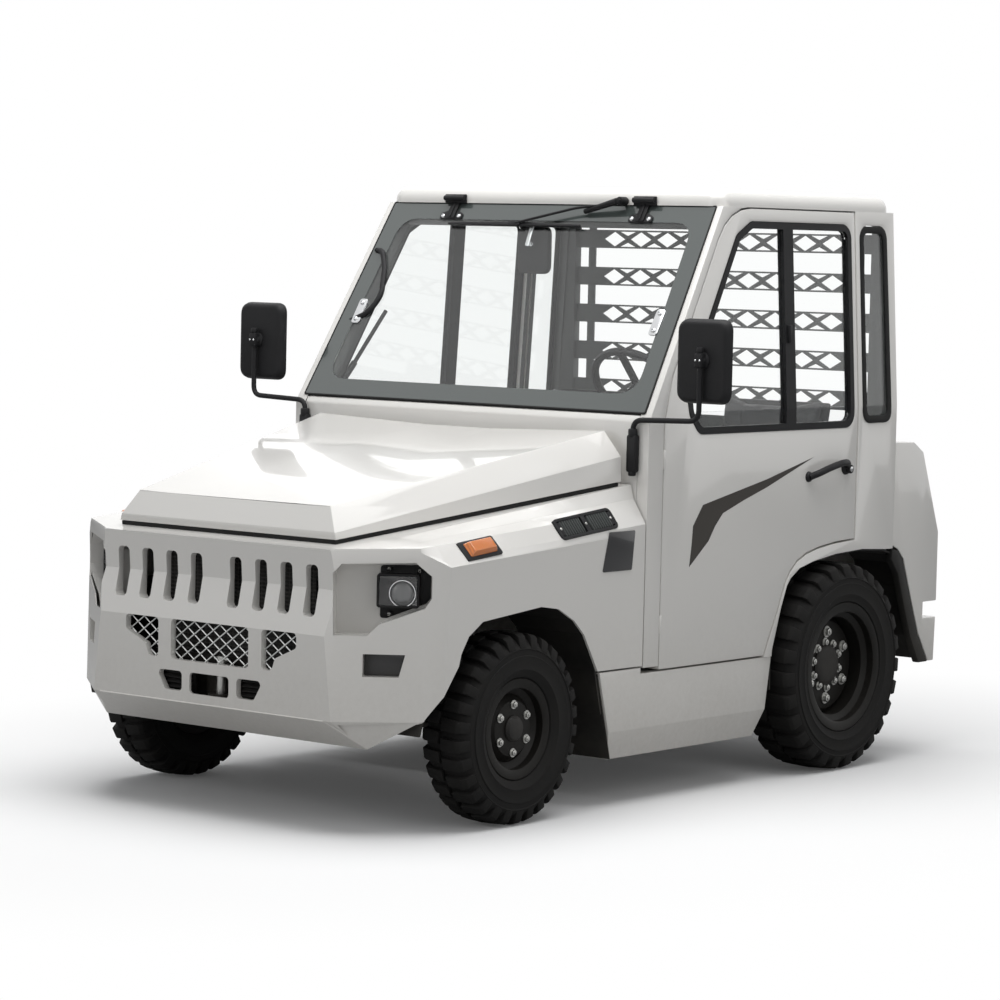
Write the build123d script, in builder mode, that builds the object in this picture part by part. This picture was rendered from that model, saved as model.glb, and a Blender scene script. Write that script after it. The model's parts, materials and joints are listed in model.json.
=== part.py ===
from build123d import *

import os
from math import atan2, cos, hypot, radians, sin

os.makedirs("parts", exist_ok=True)

# Baggage tow tractor with a closed cab, in millimetres. Front faces -Y, left side is +X, the floor is Z = 0.
# Stations along the vehicle are measured from the front axle or from the rear axle.

# Overall sizes
wheelbase = 1700
front_overhang = 580
rear_overhang = 624
hitch_reach = 118
body_half = 743
cab_roof_z = 1934
shoulder_rise = 82
front_axle_y = -(front_overhang + wheelbase + rear_overhang + hitch_reach) / 2 + front_overhang
rear_axle_y = front_axle_y + wheelbase

# Panels and clearances
body_wall = 8
cab_wall = 42
door_gap = 6
moving_gap = 6
pin_fit = 0.05
seat_gap = 0.3

# Wheels
front_tyre_r = 292
front_tyre_w = 168
front_tyre_x = 664
front_flange_r = 152
front_bead_r = 130
rear_tyre_r = 350
rear_tyre_w = 205
rear_tyre_x = 681
rear_flange_r = 216
rear_bead_r = 192
rim_metal = 7
wheel_gap = 7

# Front axle and steering
kingpin_x = 508
kingpin_r = 15
axle_eye_r = 28
axle_eye_h = 70
spindle_r = 22
steer_arm = 150
steer_lock = 35
tie_pin_r = 8

# Rear axle
rear_tube_r = 50
rear_spindle_r = 40
rear_drum_r = 150

# Chassis frame
rail_x = 285
rail_w = 50
rail_bottom = 368
rail_h = 92
rail_kick = 150
frame_end = 508
sill_top_z = 412
sill_h = 260
radiator_top = 800
plate = 12

# Front moulding
crease_z = 800
nose_bottom_z = 257
nose_crease_z = 341
nose_top_z = 843
nose_end = 598
arch_front_z = 650
lamp_depth = 74
fog_depth = 34

# Bonnet, on a deck that rises to the rear
bonnet_front = -517
bonnet_rear = 566
bonnet_front_half = 445
bonnet_rear_half = 668
bonnet_front_z = 868
bonnet_rear_z = 1012
bonnet_wall = 8
seal_h = 12
seal_w = 14
seal_air = 2
bonnet_open = 55

# Cab
cab_front = 604
cab_rear = 326
belt_z = 1225
cab_lean = 42
screen_foot = 616
screen_foot_z = 1225
screen_head = 1024
screen_head_z = 1880
floor_z = 473
seat_deck_z = 780
door_front = 688
door_rear = 84
door_bottom_z = 418
door_top_z = 1876
door_open = 75
glass = 6
trim_proud = 2

# Rear bodywork, stations from the rear axle
tail_front = 330
tail_top_z = 1095
groove_z = 476
groove_h = 56
groove_depth = 86

# Hitches
hitch_bore_r = 16
hitch_z = 404
hitch_jaw = 62
hitch_plate = 22


def fy(station):
    """Y of a station measured from the front axle."""
    return front_axle_y + station


def ry(station):
    """Y of a station measured from the rear axle."""
    return rear_axle_y + station


def front_points(*points):
    return [(fy(y), z) for y, z in points]


def both_sides(points):
    """Closed outline from the points of its left half, mirrored."""
    return points + [(-x, z) for x, z in reversed(points)]


def save(builder, name):
    builder.part.label = name
    export_step(builder.part, "parts/" + name + ".step")


def side_wall(outer, inner):
    """Section of the cab side between two depths below its outer surface, seen from the front."""
    lean_z = cab_roof_z
    return [
        (body_half - outer, 0),
        (body_half - outer, belt_z),
        (body_half - outer - cab_lean, lean_z),
        (body_half - inner - cab_lean, lean_z),
        (body_half - inner, belt_z),
        (body_half - inner, 0),
    ]


# Chassis frame: two rails that rise over the rear axle
rail_top = rail_bottom + rail_h
rear_stay = 472
wing_lean = 2.1
rail_line = [
    (fy(-470), rail_bottom),
    (ry(-385), rail_bottom),
    (ry(-270), rail_bottom + rail_kick),
    (ry(frame_end), rail_bottom + rail_kick),
]
with BuildPart() as chassis_frame:
    with BuildSketch(Plane.YZ.offset(rail_x)):
        Polygon(*rail_line, *[(y, z + rail_h) for y, z in reversed(rail_line)], align=None)
    extrude(amount=rail_w)
    mirror(about=Plane.YZ)
save(chassis_frame, "chassis_frame")

# Members between the rails, outriggers and end plates, each against a rail's face
with BuildPart() as cross_members:
    for y in (fy(-440), fy(420), fy(720), ry(-430)):
        with Locations((0, y, rail_bottom + rail_h / 2)):
            Box(2 * rail_x, 60, rail_h - 20)
    for y in (ry(260), ry(frame_end - 30)):
        with Locations((0, y, rail_bottom + rail_kick + rail_h / 2)):
            Box(2 * rail_x, 60, rail_h - 20)
    # Outriggers for the sills, the front wings and the rear bodywork
    for y, reach, top, depth in (
        (fy(660), rail_x + rail_w + 330, rail_top, rail_top - sill_top_z),
        (ry(-440), rail_x + rail_w + 330, rail_top, rail_top - sill_top_z),
        (fy(500), body_half - wing_lean - body_wall - seat_gap, rail_top, 20),
        (ry(rear_stay), body_half - 3 - body_wall - seat_gap, rail_top + rail_kick, 20),
    ):
        for side in (-1, 1):
            with Locations((side * (rail_x + rail_w + reach) / 2, y, top - depth / 2)):
                Box(reach - rail_x - rail_w, 40, depth)
    # Plates that carry the two hitches
    with Locations((0, fy(-470) - plate / 2, rail_bottom + rail_h / 2)):
        Box(2 * (rail_x + rail_w), plate, rail_h + 40)
    hitch_low = hitch_z - hitch_jaw / 2 - hitch_plate - 10
    with Locations((0, ry(frame_end) + plate / 2, (hitch_low + rail_bottom + rail_kick + rail_h) / 2)):
        Box(2 * (rail_x + rail_w), plate, rail_bottom + rail_kick + rail_h - hitch_low)
save(cross_members, "cross_members")

# Front axle beam between two upright eyes
with BuildPart() as front_axle:
    with BuildSketch(Plane.YZ):
        with Locations((front_axle_y, front_tyre_r)):
            Rectangle(64, 56)
            for side in (-1, 1):
                with Locations((side * 32, 0)):
                    Rectangle(28, 26, mode=Mode.SUBTRACT)
    extrude(amount=kingpin_x - axle_eye_r / 2, both=True)
    for side in (-1, 1):
        with Locations((side * kingpin_x, front_axle_y, front_tyre_r)):
            Cylinder(axle_eye_r, axle_eye_h)
            Cylinder(kingpin_r + pin_fit, axle_eye_h, mode=Mode.SUBTRACT)
        with Locations((side * (rail_x + rail_w / 2), front_axle_y, front_tyre_r + 32)):
            Box(56, 90, 10)
save(front_axle, "front_axle")


def leaf_pack(axle_y, seat_z, hanger_z, half_length):
    """One left leaf spring on an axle seat: stacked leaves and a hanger up to the rail at each end."""
    leaf = (hanger_z - seat_z) / 4
    for index in range(3):
        reach = half_length * (0.45 + 0.275 * index)
        with Locations((rail_x + rail_w / 2, axle_y, seat_z + leaf * (index + 0.5))):
            Box(44, 2 * reach, leaf)
    for end in (-1, 1):
        with Locations((rail_x + rail_w / 2, axle_y + end * (half_length - 15), seat_z + 3.5 * leaf)):
            Box(44, 30, leaf)


front_seat_z = front_tyre_r + 37
rear_seat_z = rear_tyre_r + rear_tube_r + 10
with BuildPart() as leaf_springs:
    leaf_pack(front_axle_y, front_seat_z, rail_bottom, 330)
    leaf_pack(rear_axle_y, rear_seat_z, rail_bottom + rail_kick, 250)
    mirror(about=Plane.YZ)
save(leaf_springs, "leaf_springs")

# Rear axle: tubes, differential housing, drums and spindles
rear_hub_end = rear_tyre_x + 10
with BuildPart() as rear_axle:
    with BuildSketch(Plane.YZ):
        with Locations((rear_axle_y, rear_tyre_r)):
            Circle(rear_tube_r)
    extrude(amount=rear_tyre_x - rear_tyre_w / 2 - wheel_gap - 10, both=True)
    with BuildSketch(Plane.YZ):
        with Locations((rear_axle_y, rear_tyre_r)):
            Circle(rear_spindle_r)
    extrude(amount=rear_hub_end, both=True)
    with Locations((0, rear_axle_y, rear_tyre_r)):
        Sphere(118)
    with Locations((0, rear_axle_y - 110, rear_tyre_r)):
        Cylinder(52, 130, rotation=(90, 0, 0))
    for side in (-1, 1):
        drum_end = rear_tyre_x - rear_tyre_w / 2 - wheel_gap
        with Locations((side * (drum_end - 30), rear_axle_y, rear_tyre_r)):
            Cylinder(rear_drum_r, 60, rotation=(0, 90, 0))
        with Locations((side * (rail_x + rail_w / 2), rear_axle_y, rear_seat_z - 15)):
            Box(56, 90, 30)
save(rear_axle, "rear_axle")

# Engine, one block on two side mounts
with BuildPart() as engine_block:
    with Locations((0, fy(80), 590)):
        Box(440, 560, 440)
    for y in (fy(-120), fy(240)):
        with Locations((0, y, rail_bottom + rail_h / 2)):
            Box(2 * rail_x, 70, 40)
save(engine_block, "engine_block")

# Radiator on the front cross member
with BuildPart() as radiator:
    with Locations((0, fy(-430), (rail_bottom + rail_h + radiator_top) / 2)):
        Box(640, 60, radiator_top - rail_bottom - rail_h)
save(radiator, "radiator")


def deck_z(station):
    """Height of the bonnet's lower edge at a station from the front axle."""
    share = (station - bonnet_front) / (bonnet_rear - bonnet_front)
    return bonnet_front_z + share * (bonnet_rear_z - bonnet_front_z)


def rim_z(station):
    """Height of the moulding's rim, below the bonnet seal."""
    return deck_z(station) - seal_h - seal_air


def nose_sections(inset):
    """Half outlines of the front moulding at its stations: (station, points from the bottom up)."""
    rear_crease = crease_z + shoulder_rise
    end = nose_end + (40 if inset else 0)
    low = nose_bottom_z - (100 if inset else 0)
    return [
        (-600, [(367, low), (461, nose_crease_z), (408, 832), (404, nose_top_z), (396, nose_top_z + 1)]),
        (-411, [(650, low + 57), (691, 345), (684, 842), (680, 854), (478, rim_z(-411))]),
        (-351, [(724, low + 93), (728, 362), (749, crease_z), (690, 860), (490, rim_z(-351))]),
        (end, [(body_half, low + 93), (body_half, 362), (body_half, rear_crease), (694, 958), (682, rim_z(end))]),
    ]


def nose_profile(inset):
    """Side outline of the front moulding: bevel, bumper face, shallow crease and lip."""
    return front_points(
        (-455 + 0.6 * inset, 250 - inset),
        (-577 + inset, nose_crease_z),
        (-front_overhang + inset, 590),
        (-552 + inset, 725),
        (-561 + inset, nose_top_z - 0.5 * inset),
        (bonnet_front - 4, rim_z(bonnet_front - 4) - inset),
        (nose_end + 50, rim_z(nose_end + 50) - inset),
        (nose_end + 50, 250 - inset),
    )


def nose_form(inset):
    """Solid form of the front moulding, inset by a wall."""
    sections = nose_sections(inset)
    with BuildPart() as form:
        for pair in zip(sections, sections[1:]):
            for station, points in pair:
                moved = [(x - inset, z - (inset if z > nose_crease_z else 0)) for x, z in points]
                with BuildSketch(Plane.XZ.offset(-fy(station))):
                    Polygon(*both_sides(moved), align=None)
            loft(ruled=True)
        with BuildSketch(Plane.YZ):
            Polygon(*nose_profile(inset), align=None)
        extrude(amount=900, both=True, mode=Mode.INTERSECT)
    return form.part


# The facet on the front corner, where the lamps sit
facet_dx, facet_dy = 219, 150
facet_length = hypot(facet_dx, facet_dy)
facet_plane = Plane(
    origin=(463, fy(-561), 0),
    x_dir=(facet_dx / facet_length, facet_dy / facet_length, 0),
    z_dir=(facet_dy / facet_length, -facet_dx / facet_length, 0),
)
lamp_outline = [
    (8, 775),
    (34, 803),
    (252, 812),
    (300, 772),
    (300, 708),
    (280, 678),
    (146, 628),
    (112, 594),
    (14, 594),
]
fog_outline = [(102, 542), (226, 542), (208, 475), (102, 475)]
slot_x = (81, 184, 286, 388)
slot_w = 48
slot_h = 152
slot_corner = 15
slot_z = 718
grille_corner = 13
mesh_station = -561
wing_outline = [(213, 590), (352, 590), (352, 545), (268, 508), (254, 470), (213, 470)]
centre_outline = [(-160, 590), (160, 590), (160, 468), (-160, 468)]
low_wing_outline = [(113, 434), (220, 434), (183, 374), (113, 374)]
low_centre_outline = [(-81, 434), (81, 434), (81, 370), (-81, 370)]
arch_line = front_points(
    (-412, 200),
    (-399, 351),
    (-291, 504),
    (-282, 541),
    (-252, 590),
    (-190, 630),
    (85, arch_front_z + 6),
    (170, 644),
    (250, 602),
    (301, 556),
    (375, 437),
    (nose_end + 60, 437),
    (nose_end + 60, 200),
)


def outline(points, grow=0.0, mode=Mode.ADD, corner=0.0):
    """Closed outline with rounded corners, grown evenly, on the sketch in hand."""
    with BuildSketch(mode=Mode.PRIVATE) as plain:
        Polygon(*points, align=None)
        if corner:
            fillet(plain.vertices(), radius=corner)
        if grow:
            offset(amount=grow, kind=Kind.INTERSECTION)
    add(plain.sketch, mode=mode)


def nose_openings():
    """Openings in the front face, drawn on it."""
    for x in slot_x:
        with Locations((x, slot_z), (-x, slot_z)):
            RectangleRounded(slot_w, slot_h, slot_corner)
    for points in (wing_outline, low_wing_outline):
        outline(points, corner=grille_corner)
        outline([(-x, z) for x, z in points], corner=grille_corner)
    outline(centre_outline, corner=grille_corner)
    outline(low_centre_outline, corner=grille_corner)


def shoulder_plane(station):
    """Plane on the sloped shoulder at a station: X along the vehicle, Z outward."""
    share = (station + 351) / (nose_end + 351)
    crease = Vector(749 - 6 * share, fy(station), crease_z + shoulder_rise * share)
    brow = Vector(690 + 4 * share, fy(station), 860 + 98 * share)
    along = Vector(-1, nose_end + 351, shoulder_rise + 8).normalized()
    outward = along.cross(brow - crease).normalized()
    return Plane(origin=(crease + brow) * 0.5, x_dir=along, z_dir=outward)


indicator_station, vent_station = -188, 322
# Returns that run inward round the slots and the meshed openings
with BuildPart() as opening_collars:
    with BuildSketch(Plane.XZ.offset(-fy(-534))):
        for x in slot_x:
            with Locations((x, slot_z), (-x, slot_z)):
                RectangleRounded(slot_w + 12, slot_h + 12, slot_corner + 6)
    extrude(amount=60)
    with BuildSketch(Plane.XZ.offset(-fy(mesh_station + 3))):
        for points in (wing_outline, low_wing_outline):
            outline(points, 6, corner=grille_corner)
            outline([(-x, z) for x, z in points], 6, corner=grille_corner)
        outline(centre_outline, 6, corner=grille_corner)
    extrude(amount=60)
    add(nose_form(1), mode=Mode.INTERSECT)
with BuildPart() as front_body:
    add(nose_form(0))
    add(nose_form(body_wall), mode=Mode.SUBTRACT)
    add(opening_collars.part)
    with BuildSketch(Plane.XZ.offset(-fy(-528))):
        nose_openings()
    extrude(amount=72, mode=Mode.SUBTRACT)
    with BuildSketch(facet_plane.offset(30)):
        Polygon(*lamp_outline, align=None)
        Polygon(*fog_outline, align=None)
    extrude(amount=-30 - body_wall - 14, mode=Mode.SUBTRACT)
    # Recesses behind the lamp openings, closed at the back
    for points, start, depth in ((lamp_outline, 1 - body_wall, lamp_depth), (fog_outline, 6, fog_depth)):
        with BuildSketch(facet_plane.offset(start)):
            outline(points, 6)
            outline(points, mode=Mode.SUBTRACT)
        extrude(amount=-depth)
        with BuildSketch(facet_plane.offset(start - depth)):
            outline(points, 6)
        extrude(amount=-5)
    # Seats of the indicator and the vent in the shoulder
    with BuildSketch(shoulder_plane(indicator_station).offset(-30)):
        Rectangle(162, 68)
    extrude(amount=60, mode=Mode.SUBTRACT)
    with BuildSketch(shoulder_plane(vent_station).offset(-30)):
        RectangleRounded(284, 74, 20)
    extrude(amount=60, mode=Mode.SUBTRACT)
    # Left wheel arch
    with BuildSketch(Plane.YZ.offset(560)):
        Polygon(*arch_line, align=None)
    extrude(amount=300, mode=Mode.SUBTRACT)
    # Engine bay, open to the bonnet
    with BuildSketch(Plane.XY.offset(700)):
        Polygon(
            (bonnet_front_half - 30, fy(bonnet_front + 28)),
            (bonnet_rear_half - 22, fy(nose_end + 60)),
            (-bonnet_rear_half + 22, fy(nose_end + 60)),
            (-bonnet_front_half + 30, fy(bonnet_front + 28)),
            align=None,
        )
    extrude(amount=500, mode=Mode.SUBTRACT)
    split(bisect_by=Plane.YZ, keep=Keep.TOP)
    mirror(about=Plane.YZ)
save(front_body, "front_body")


def bonnet_form(inset):
    """Solid form of the bonnet, inset by its wall and open below."""
    low = -30 if inset else 0
    rows = [
        (bonnet_front + inset, [(bonnet_front_half, low), (440, 20), (386, 90), (250, 88)]),
        (bonnet_rear - inset, [(bonnet_rear_half, low), (664, 78), (597, 155), (134, 140)]),
    ]
    with BuildPart() as form:
        for station, points in rows:
            moved = [(x - inset, deck_z(station) + z - (inset if z > 0 else 0)) for x, z in points]
            with BuildSketch(Plane.XZ.offset(-fy(station))):
                Polygon(*both_sides(moved), align=None)
        loft(ruled=True)
        # The front leans back to the top crease
        with BuildSketch(Plane.YZ):
            Polygon(
                *front_points(
                    (bonnet_front + inset, 700),
                    (bonnet_front + inset, bonnet_front_z + 22),
                    (bonnet_front + 30 + inset, 960 - inset),
                    (bonnet_front + 60 + inset, 1300),
                    (bonnet_rear, 1300),
                    (bonnet_rear, 700),
                ),
                align=None,
            )
        extrude(amount=900, both=True, mode=Mode.INTERSECT)
    return form.part


# Bonnet: a shell hinged at its top rear edge
with BuildPart() as bonnet:
    add(bonnet_form(0))
    add(bonnet_form(bonnet_wall), mode=Mode.SUBTRACT)
save(bonnet, "bonnet")

# Seal on the rim, under the bonnet's edge
deck_tilt = atan2(bonnet_rear_z - bonnet_front_z, bonnet_rear - bonnet_front)
deck_length = (bonnet_rear - bonnet_front) / cos(deck_tilt)
seal_plane = Plane(
    origin=(0, fy(bonnet_front), rim_z(bonnet_front)),
    x_dir=(1, 0, 0),
    z_dir=(0, -sin(deck_tilt), cos(deck_tilt)),
)
with BuildPart() as bonnet_seal:
    with BuildSketch(seal_plane):
        front_x, rear_x = bonnet_front_half - 4, bonnet_rear_half - 4
        Polygon((-front_x, 4), (front_x, 4), (rear_x, deck_length - 10), (-rear_x, deck_length - 10), align=None)
        front_x, rear_x = front_x - seal_w, rear_x - seal_w
        Polygon(
            (-front_x, 4 + seal_w),
            (front_x, 4 + seal_w),
            (rear_x, deck_length + 10),
            (-rear_x, deck_length + 10),
            align=None,
            mode=Mode.SUBTRACT,
        )
    extrude(amount=seal_h)
save(bonnet_seal, "bonnet_seal")


# Steering knuckle: a fork round the axle eye, with kingpin, spindle and steering arm
lug_gap = seat_gap
lug_t = 20
web_t = 18
web_x = kingpin_x + axle_eye_r + 6
arm_z = front_tyre_r - axle_eye_h / 2 - lug_gap - lug_t
rod_eye_h = 22
wheel_inner_x = front_tyre_x - front_tyre_w / 2
with BuildPart() as knuckle_left:
    for side in (-1, 1):
        lug_z = front_tyre_r + side * (axle_eye_h / 2 + lug_gap + lug_t / 2)
        with Locations((kingpin_x, front_axle_y, lug_z)):
            Cylinder(axle_eye_r, lug_t)
        with Locations(((kingpin_x + web_x + web_t) / 2, front_axle_y, lug_z)):
            Box(web_x + web_t - kingpin_x, 2 * axle_eye_r, lug_t)
    with Locations((kingpin_x, front_axle_y, front_tyre_r)):
        Cylinder(kingpin_r, axle_eye_h + 2 * (lug_gap + lug_t))
    with Locations((web_x + web_t / 2, front_axle_y, front_tyre_r)):
        Box(web_t, 2 * axle_eye_r, axle_eye_h + 2 * (lug_gap + lug_t))
    with BuildSketch(Plane.YZ.offset(web_x + web_t)):
        with Locations((front_axle_y, front_tyre_r)):
            Circle(104)
    extrude(amount=6)
    with BuildSketch(Plane.YZ.offset(web_x + web_t)):
        with Locations((front_axle_y, front_tyre_r)):
            Circle(spindle_r)
    extrude(amount=front_tyre_x + 44 - web_x - web_t)
    # Arm to the rear, with the pin for the track rod
    with BuildSketch(Plane.XY.offset(arm_z)):
        with Locations((kingpin_x, front_axle_y + steer_arm / 2)):
            Rectangle(36, steer_arm)
        with Locations((kingpin_x, front_axle_y + steer_arm)):
            Circle(18)
    extrude(amount=lug_t)
    with Locations((kingpin_x, front_axle_y + steer_arm, arm_z + lug_t + rod_eye_h / 2 + 2)):
        Cylinder(tie_pin_r, rod_eye_h + 4)
save(knuckle_left, "knuckle_left")

with BuildPart() as knuckle_right:
    add(mirror(knuckle_left.part, about=Plane.YZ))
save(knuckle_right, "knuckle_right")

# Track rod behind the axle
rod_z = arm_z + lug_t + seat_gap + rod_eye_h / 2
with BuildPart() as tie_rod:
    with BuildSketch(Plane.YZ):
        with Locations((front_axle_y + steer_arm, rod_z)):
            Circle(11)
    extrude(amount=kingpin_x - 12, both=True)
    with Locations((kingpin_x, front_axle_y + steer_arm, rod_z), (-kingpin_x, front_axle_y + steer_arm, rod_z)):
        Cylinder(20, rod_eye_h)
        Cylinder(tie_pin_r + pin_fit, rod_eye_h, mode=Mode.SUBTRACT)
save(tie_rod, "tie_rod")


def wheel_plane(x, y, z):
    """Plane through a wheel's centre where a sketch's X runs outward and its Y is the radius."""
    return Plane(origin=(x, y, z), x_dir=(1, 0, 0), z_dir=(0, 0, 1))


def rim(x, y, z, half, flange_r, bead_r, disc_x, hub_r, hub_in, bore_r, windows):
    """Left wheel rim: flanges, bead seats, well, disc and hub, revolved about the axle."""
    well_r = bead_r - 20
    with BuildPart() as wheel:
        with BuildSketch(wheel_plane(x, y, z)):
            Polygon(
                (-half, flange_r),
                (-half + rim_metal, flange_r),
                (-half + rim_metal, bead_r),
                (-half + 30, bead_r),
                (-half + 42, well_r),
                (half - 42, well_r),
                (half - 30, bead_r),
                (half - rim_metal, bead_r),
                (half - rim_metal, flange_r),
                (half, flange_r),
                (half, bead_r - rim_metal),
                (half - 28, bead_r - rim_metal),
                (half - 40, well_r - rim_metal),
                (-half + 40, well_r - rim_metal),
                (-half + 28, bead_r - rim_metal),
                (-half, bead_r - rim_metal),
                align=None,
            )
            Polygon(
                (disc_x - 24, well_r - 2),
                (disc_x - 14, well_r - 2),
                (disc_x + 12, 1.25 * hub_r),
                (disc_x + 12, bore_r),
                (disc_x, bore_r),
                (disc_x, 1.25 * hub_r),
                align=None,
            )
            Polygon((hub_in, bore_r), (hub_in, hub_r), (disc_x + 6, hub_r), (disc_x + 6, bore_r), align=None)
        revolve(axis=Axis((x, y, z), (1, 0, 0)))
        # Hub cap outside the disc
        with BuildSketch(Plane(origin=(x + disc_x + 12, y, z), x_dir=(0, 1, 0), z_dir=(1, 0, 0))):
            Circle(0.75 * hub_r)
        extrude(amount=16)
    return wheel.part


def tyre(x, y, z, radius, width, rim_half, flange_r, bead_r):
    """Left tyre: bead, bulged side wall, rounded shoulder and slightly crowned tread."""
    half = width / 2
    seat = rim_half - rim_metal
    with BuildPart() as casing:
        with BuildSketch(wheel_plane(x, y, z)):
            with BuildLine():
                Polyline((-seat, flange_r + 2), (-seat, bead_r), (seat, bead_r), (seat, flange_r + 2))
                Line((seat, flange_r + 2), (seat + rim_metal, flange_r + 4))
                shoulder = (half - 12, radius - 14)
                ThreePointArc((seat + rim_metal, flange_r + 4), (half, (flange_r + radius) / 2 + 6), shoulder)
                Line(shoulder, (half - 22, radius - 4))
                ThreePointArc((half - 22, radius - 4), (0, radius), (22 - half, radius - 4))
                Line((22 - half, radius - 4), (12 - half, radius - 14))
                ThreePointArc(
                    (12 - half, radius - 14), (-half, (flange_r + radius) / 2 + 6), (-seat - rim_metal, flange_r + 4)
                )
                Line((-seat - rim_metal, flange_r + 4), (-seat, flange_r + 2))
            make_face()
        revolve(axis=Axis((x, y, z), (1, 0, 0)))
    return casing.part


front_rim_half = 66
rear_rim_half = 90
front_centre = (front_tyre_x, front_axle_y, front_tyre_r)
rear_centre = (rear_tyre_x, rear_axle_y, rear_tyre_r)
front_rim_part = rim(
    *front_centre, front_rim_half, front_flange_r, front_bead_r, 34, 52, web_x + web_t + 12 - front_tyre_x,
    spindle_r + pin_fit, 6
)
rear_rim_part = rim(
    *rear_centre, rear_rim_half, rear_flange_r, rear_bead_r, 4, 92, -rear_tyre_w / 2 + 1,
    rear_spindle_r + pin_fit, 6
)
front_tyre_part = tyre(
    *front_centre, front_tyre_r, front_tyre_w, front_rim_half, front_flange_r, front_bead_r
)
rear_tyre_part = tyre(*rear_centre, rear_tyre_r, rear_tyre_w, rear_rim_half, rear_flange_r, rear_bead_r)
for name, left in (
    ("front_rim", front_rim_part),
    ("front_tyre", front_tyre_part),
    ("rear_rim", rear_rim_part),
    ("rear_tyre", rear_tyre_part),
):
    with BuildPart() as left_side:
        add(left)
    save(left_side, name + "_left")
    with BuildPart() as right_side:
        add(mirror(left, about=Plane.YZ))
    save(right_side, name + "_right")

# Cab shell, from the side: front edge, windscreen slope, roof line and rear edge
screen_slope = (screen_head - screen_foot) / (screen_head_z - screen_foot_z)
cab_back = ry(cab_rear)
roof_z = door_top_z + 4
# Edge of the rear arch under the cab's side, stations from the rear axle, from the back
arch_rear_line = [
    (cab_rear, 731),
    (284, 731),
    (134, 739),
    (-25, 731),
    (-156, 714),
    (-238, 695),
    (-290, 664),
    (-311, 640),
    (-342, 569),
    (-388, 433),
]
cab_outline = [
    (fy(cab_front), 430),
    (fy(cab_front), screen_foot_z - 25),
    (fy(screen_foot), screen_foot_z - 5),
    (fy(screen_foot) + (roof_z - screen_foot_z) * screen_slope, roof_z),
    (cab_back, roof_z),
    *[(ry(y), z) for y, z in arch_rear_line],
    (ry(-389), sill_top_z + seat_gap),
    (fy(door_front + 60), sill_top_z + seat_gap),
    (fy(door_front + 60), 430),
]


def pillar_y(z):
    """Front edge of the door along the windscreen pillar."""
    return fy(735) + (z - 1340) * 0.605


door_outline = [
    (fy(door_front), door_bottom_z),
    (fy(door_front), 1200),
    (pillar_y(1340), 1340),
    (pillar_y(door_top_z - 101), door_top_z - 101),
    (pillar_y(door_top_z - 101) + 33, door_top_z - 59),
    (pillar_y(door_top_z - 101) + 76, door_top_z - 27),
    (pillar_y(door_top_z - 101) + 126, door_top_z - 7),
    (pillar_y(door_top_z - 101) + 179, door_top_z),
    (ry(door_rear), door_top_z),
    (ry(door_rear), door_bottom_z + 360),
    (ry(-30), door_bottom_z + 354),
    (ry(-134), door_bottom_z + 341),
    (ry(-205), door_bottom_z + 325),
    (ry(-256), door_bottom_z + 303),
    (ry(-297), door_bottom_z + 270),
    (ry(-325), door_bottom_z + 232),
    (ry(-362), door_bottom_z + 148),
    (ry(-418), door_bottom_z + 40),
    (ry(-436), door_bottom_z),
]
window_front, window_rear = 818, 60
window_corner = 48
window_outline = [
    (fy(window_front + 55), 1155),
    (fy(window_front), 1215),
    (pillar_y(1304) + 88, 1304),
    (pillar_y(1790) + 88, 1790),
    (pillar_y(1790) + 170, 1834),
    (ry(window_rear), 1834),
    (ry(window_rear), 1155),
]
quarter_outline = [
    (ry(112), 1165),
    (ry(292), 1165),
    (ry(282), 1834),
    (ry(112), 1834),
]


def side_panel(points, outer, inner, grow=0.0, corner=0.0):
    """Left panel of the cab side between two depths, with an outline seen from the side."""
    with BuildPart() as panel:
        with BuildSketch(Plane.YZ.offset(body_half - 300)):
            outline(points, grow, corner=corner)
        extrude(amount=400)
        with BuildSketch(Plane.XZ):
            Polygon(*side_wall(outer, inner), align=None)
        extrude(amount=4000, both=True, mode=Mode.INTERSECT)
    return panel.part


screen_angle = atan2(screen_head - screen_foot, screen_head_z - screen_foot_z)
screen_length = hypot(screen_head - screen_foot, screen_head_z - screen_foot_z)
screen_plane = Plane(
    origin=(0, fy(screen_foot), screen_foot_z),
    x_dir=(1, 0, 0),
    z_dir=(0, -cos(screen_angle), sin(screen_angle)),
)
screen_half_foot = 717
screen_half_head = 680
screen_frame_w = 62
rear_frame = 34


def screen_outline(shrink):
    """The windscreen's outline on its own plane."""
    with BuildSketch(mode=Mode.PRIVATE) as pane:
        Polygon(
            (-screen_half_foot, 0),
            (screen_half_foot, 0),
            (screen_half_head, screen_length),
            (-screen_half_head, screen_length),
            align=None,
        )
        offset(amount=-shrink, kind=Kind.INTERSECTION)
    return pane.sketch


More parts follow.
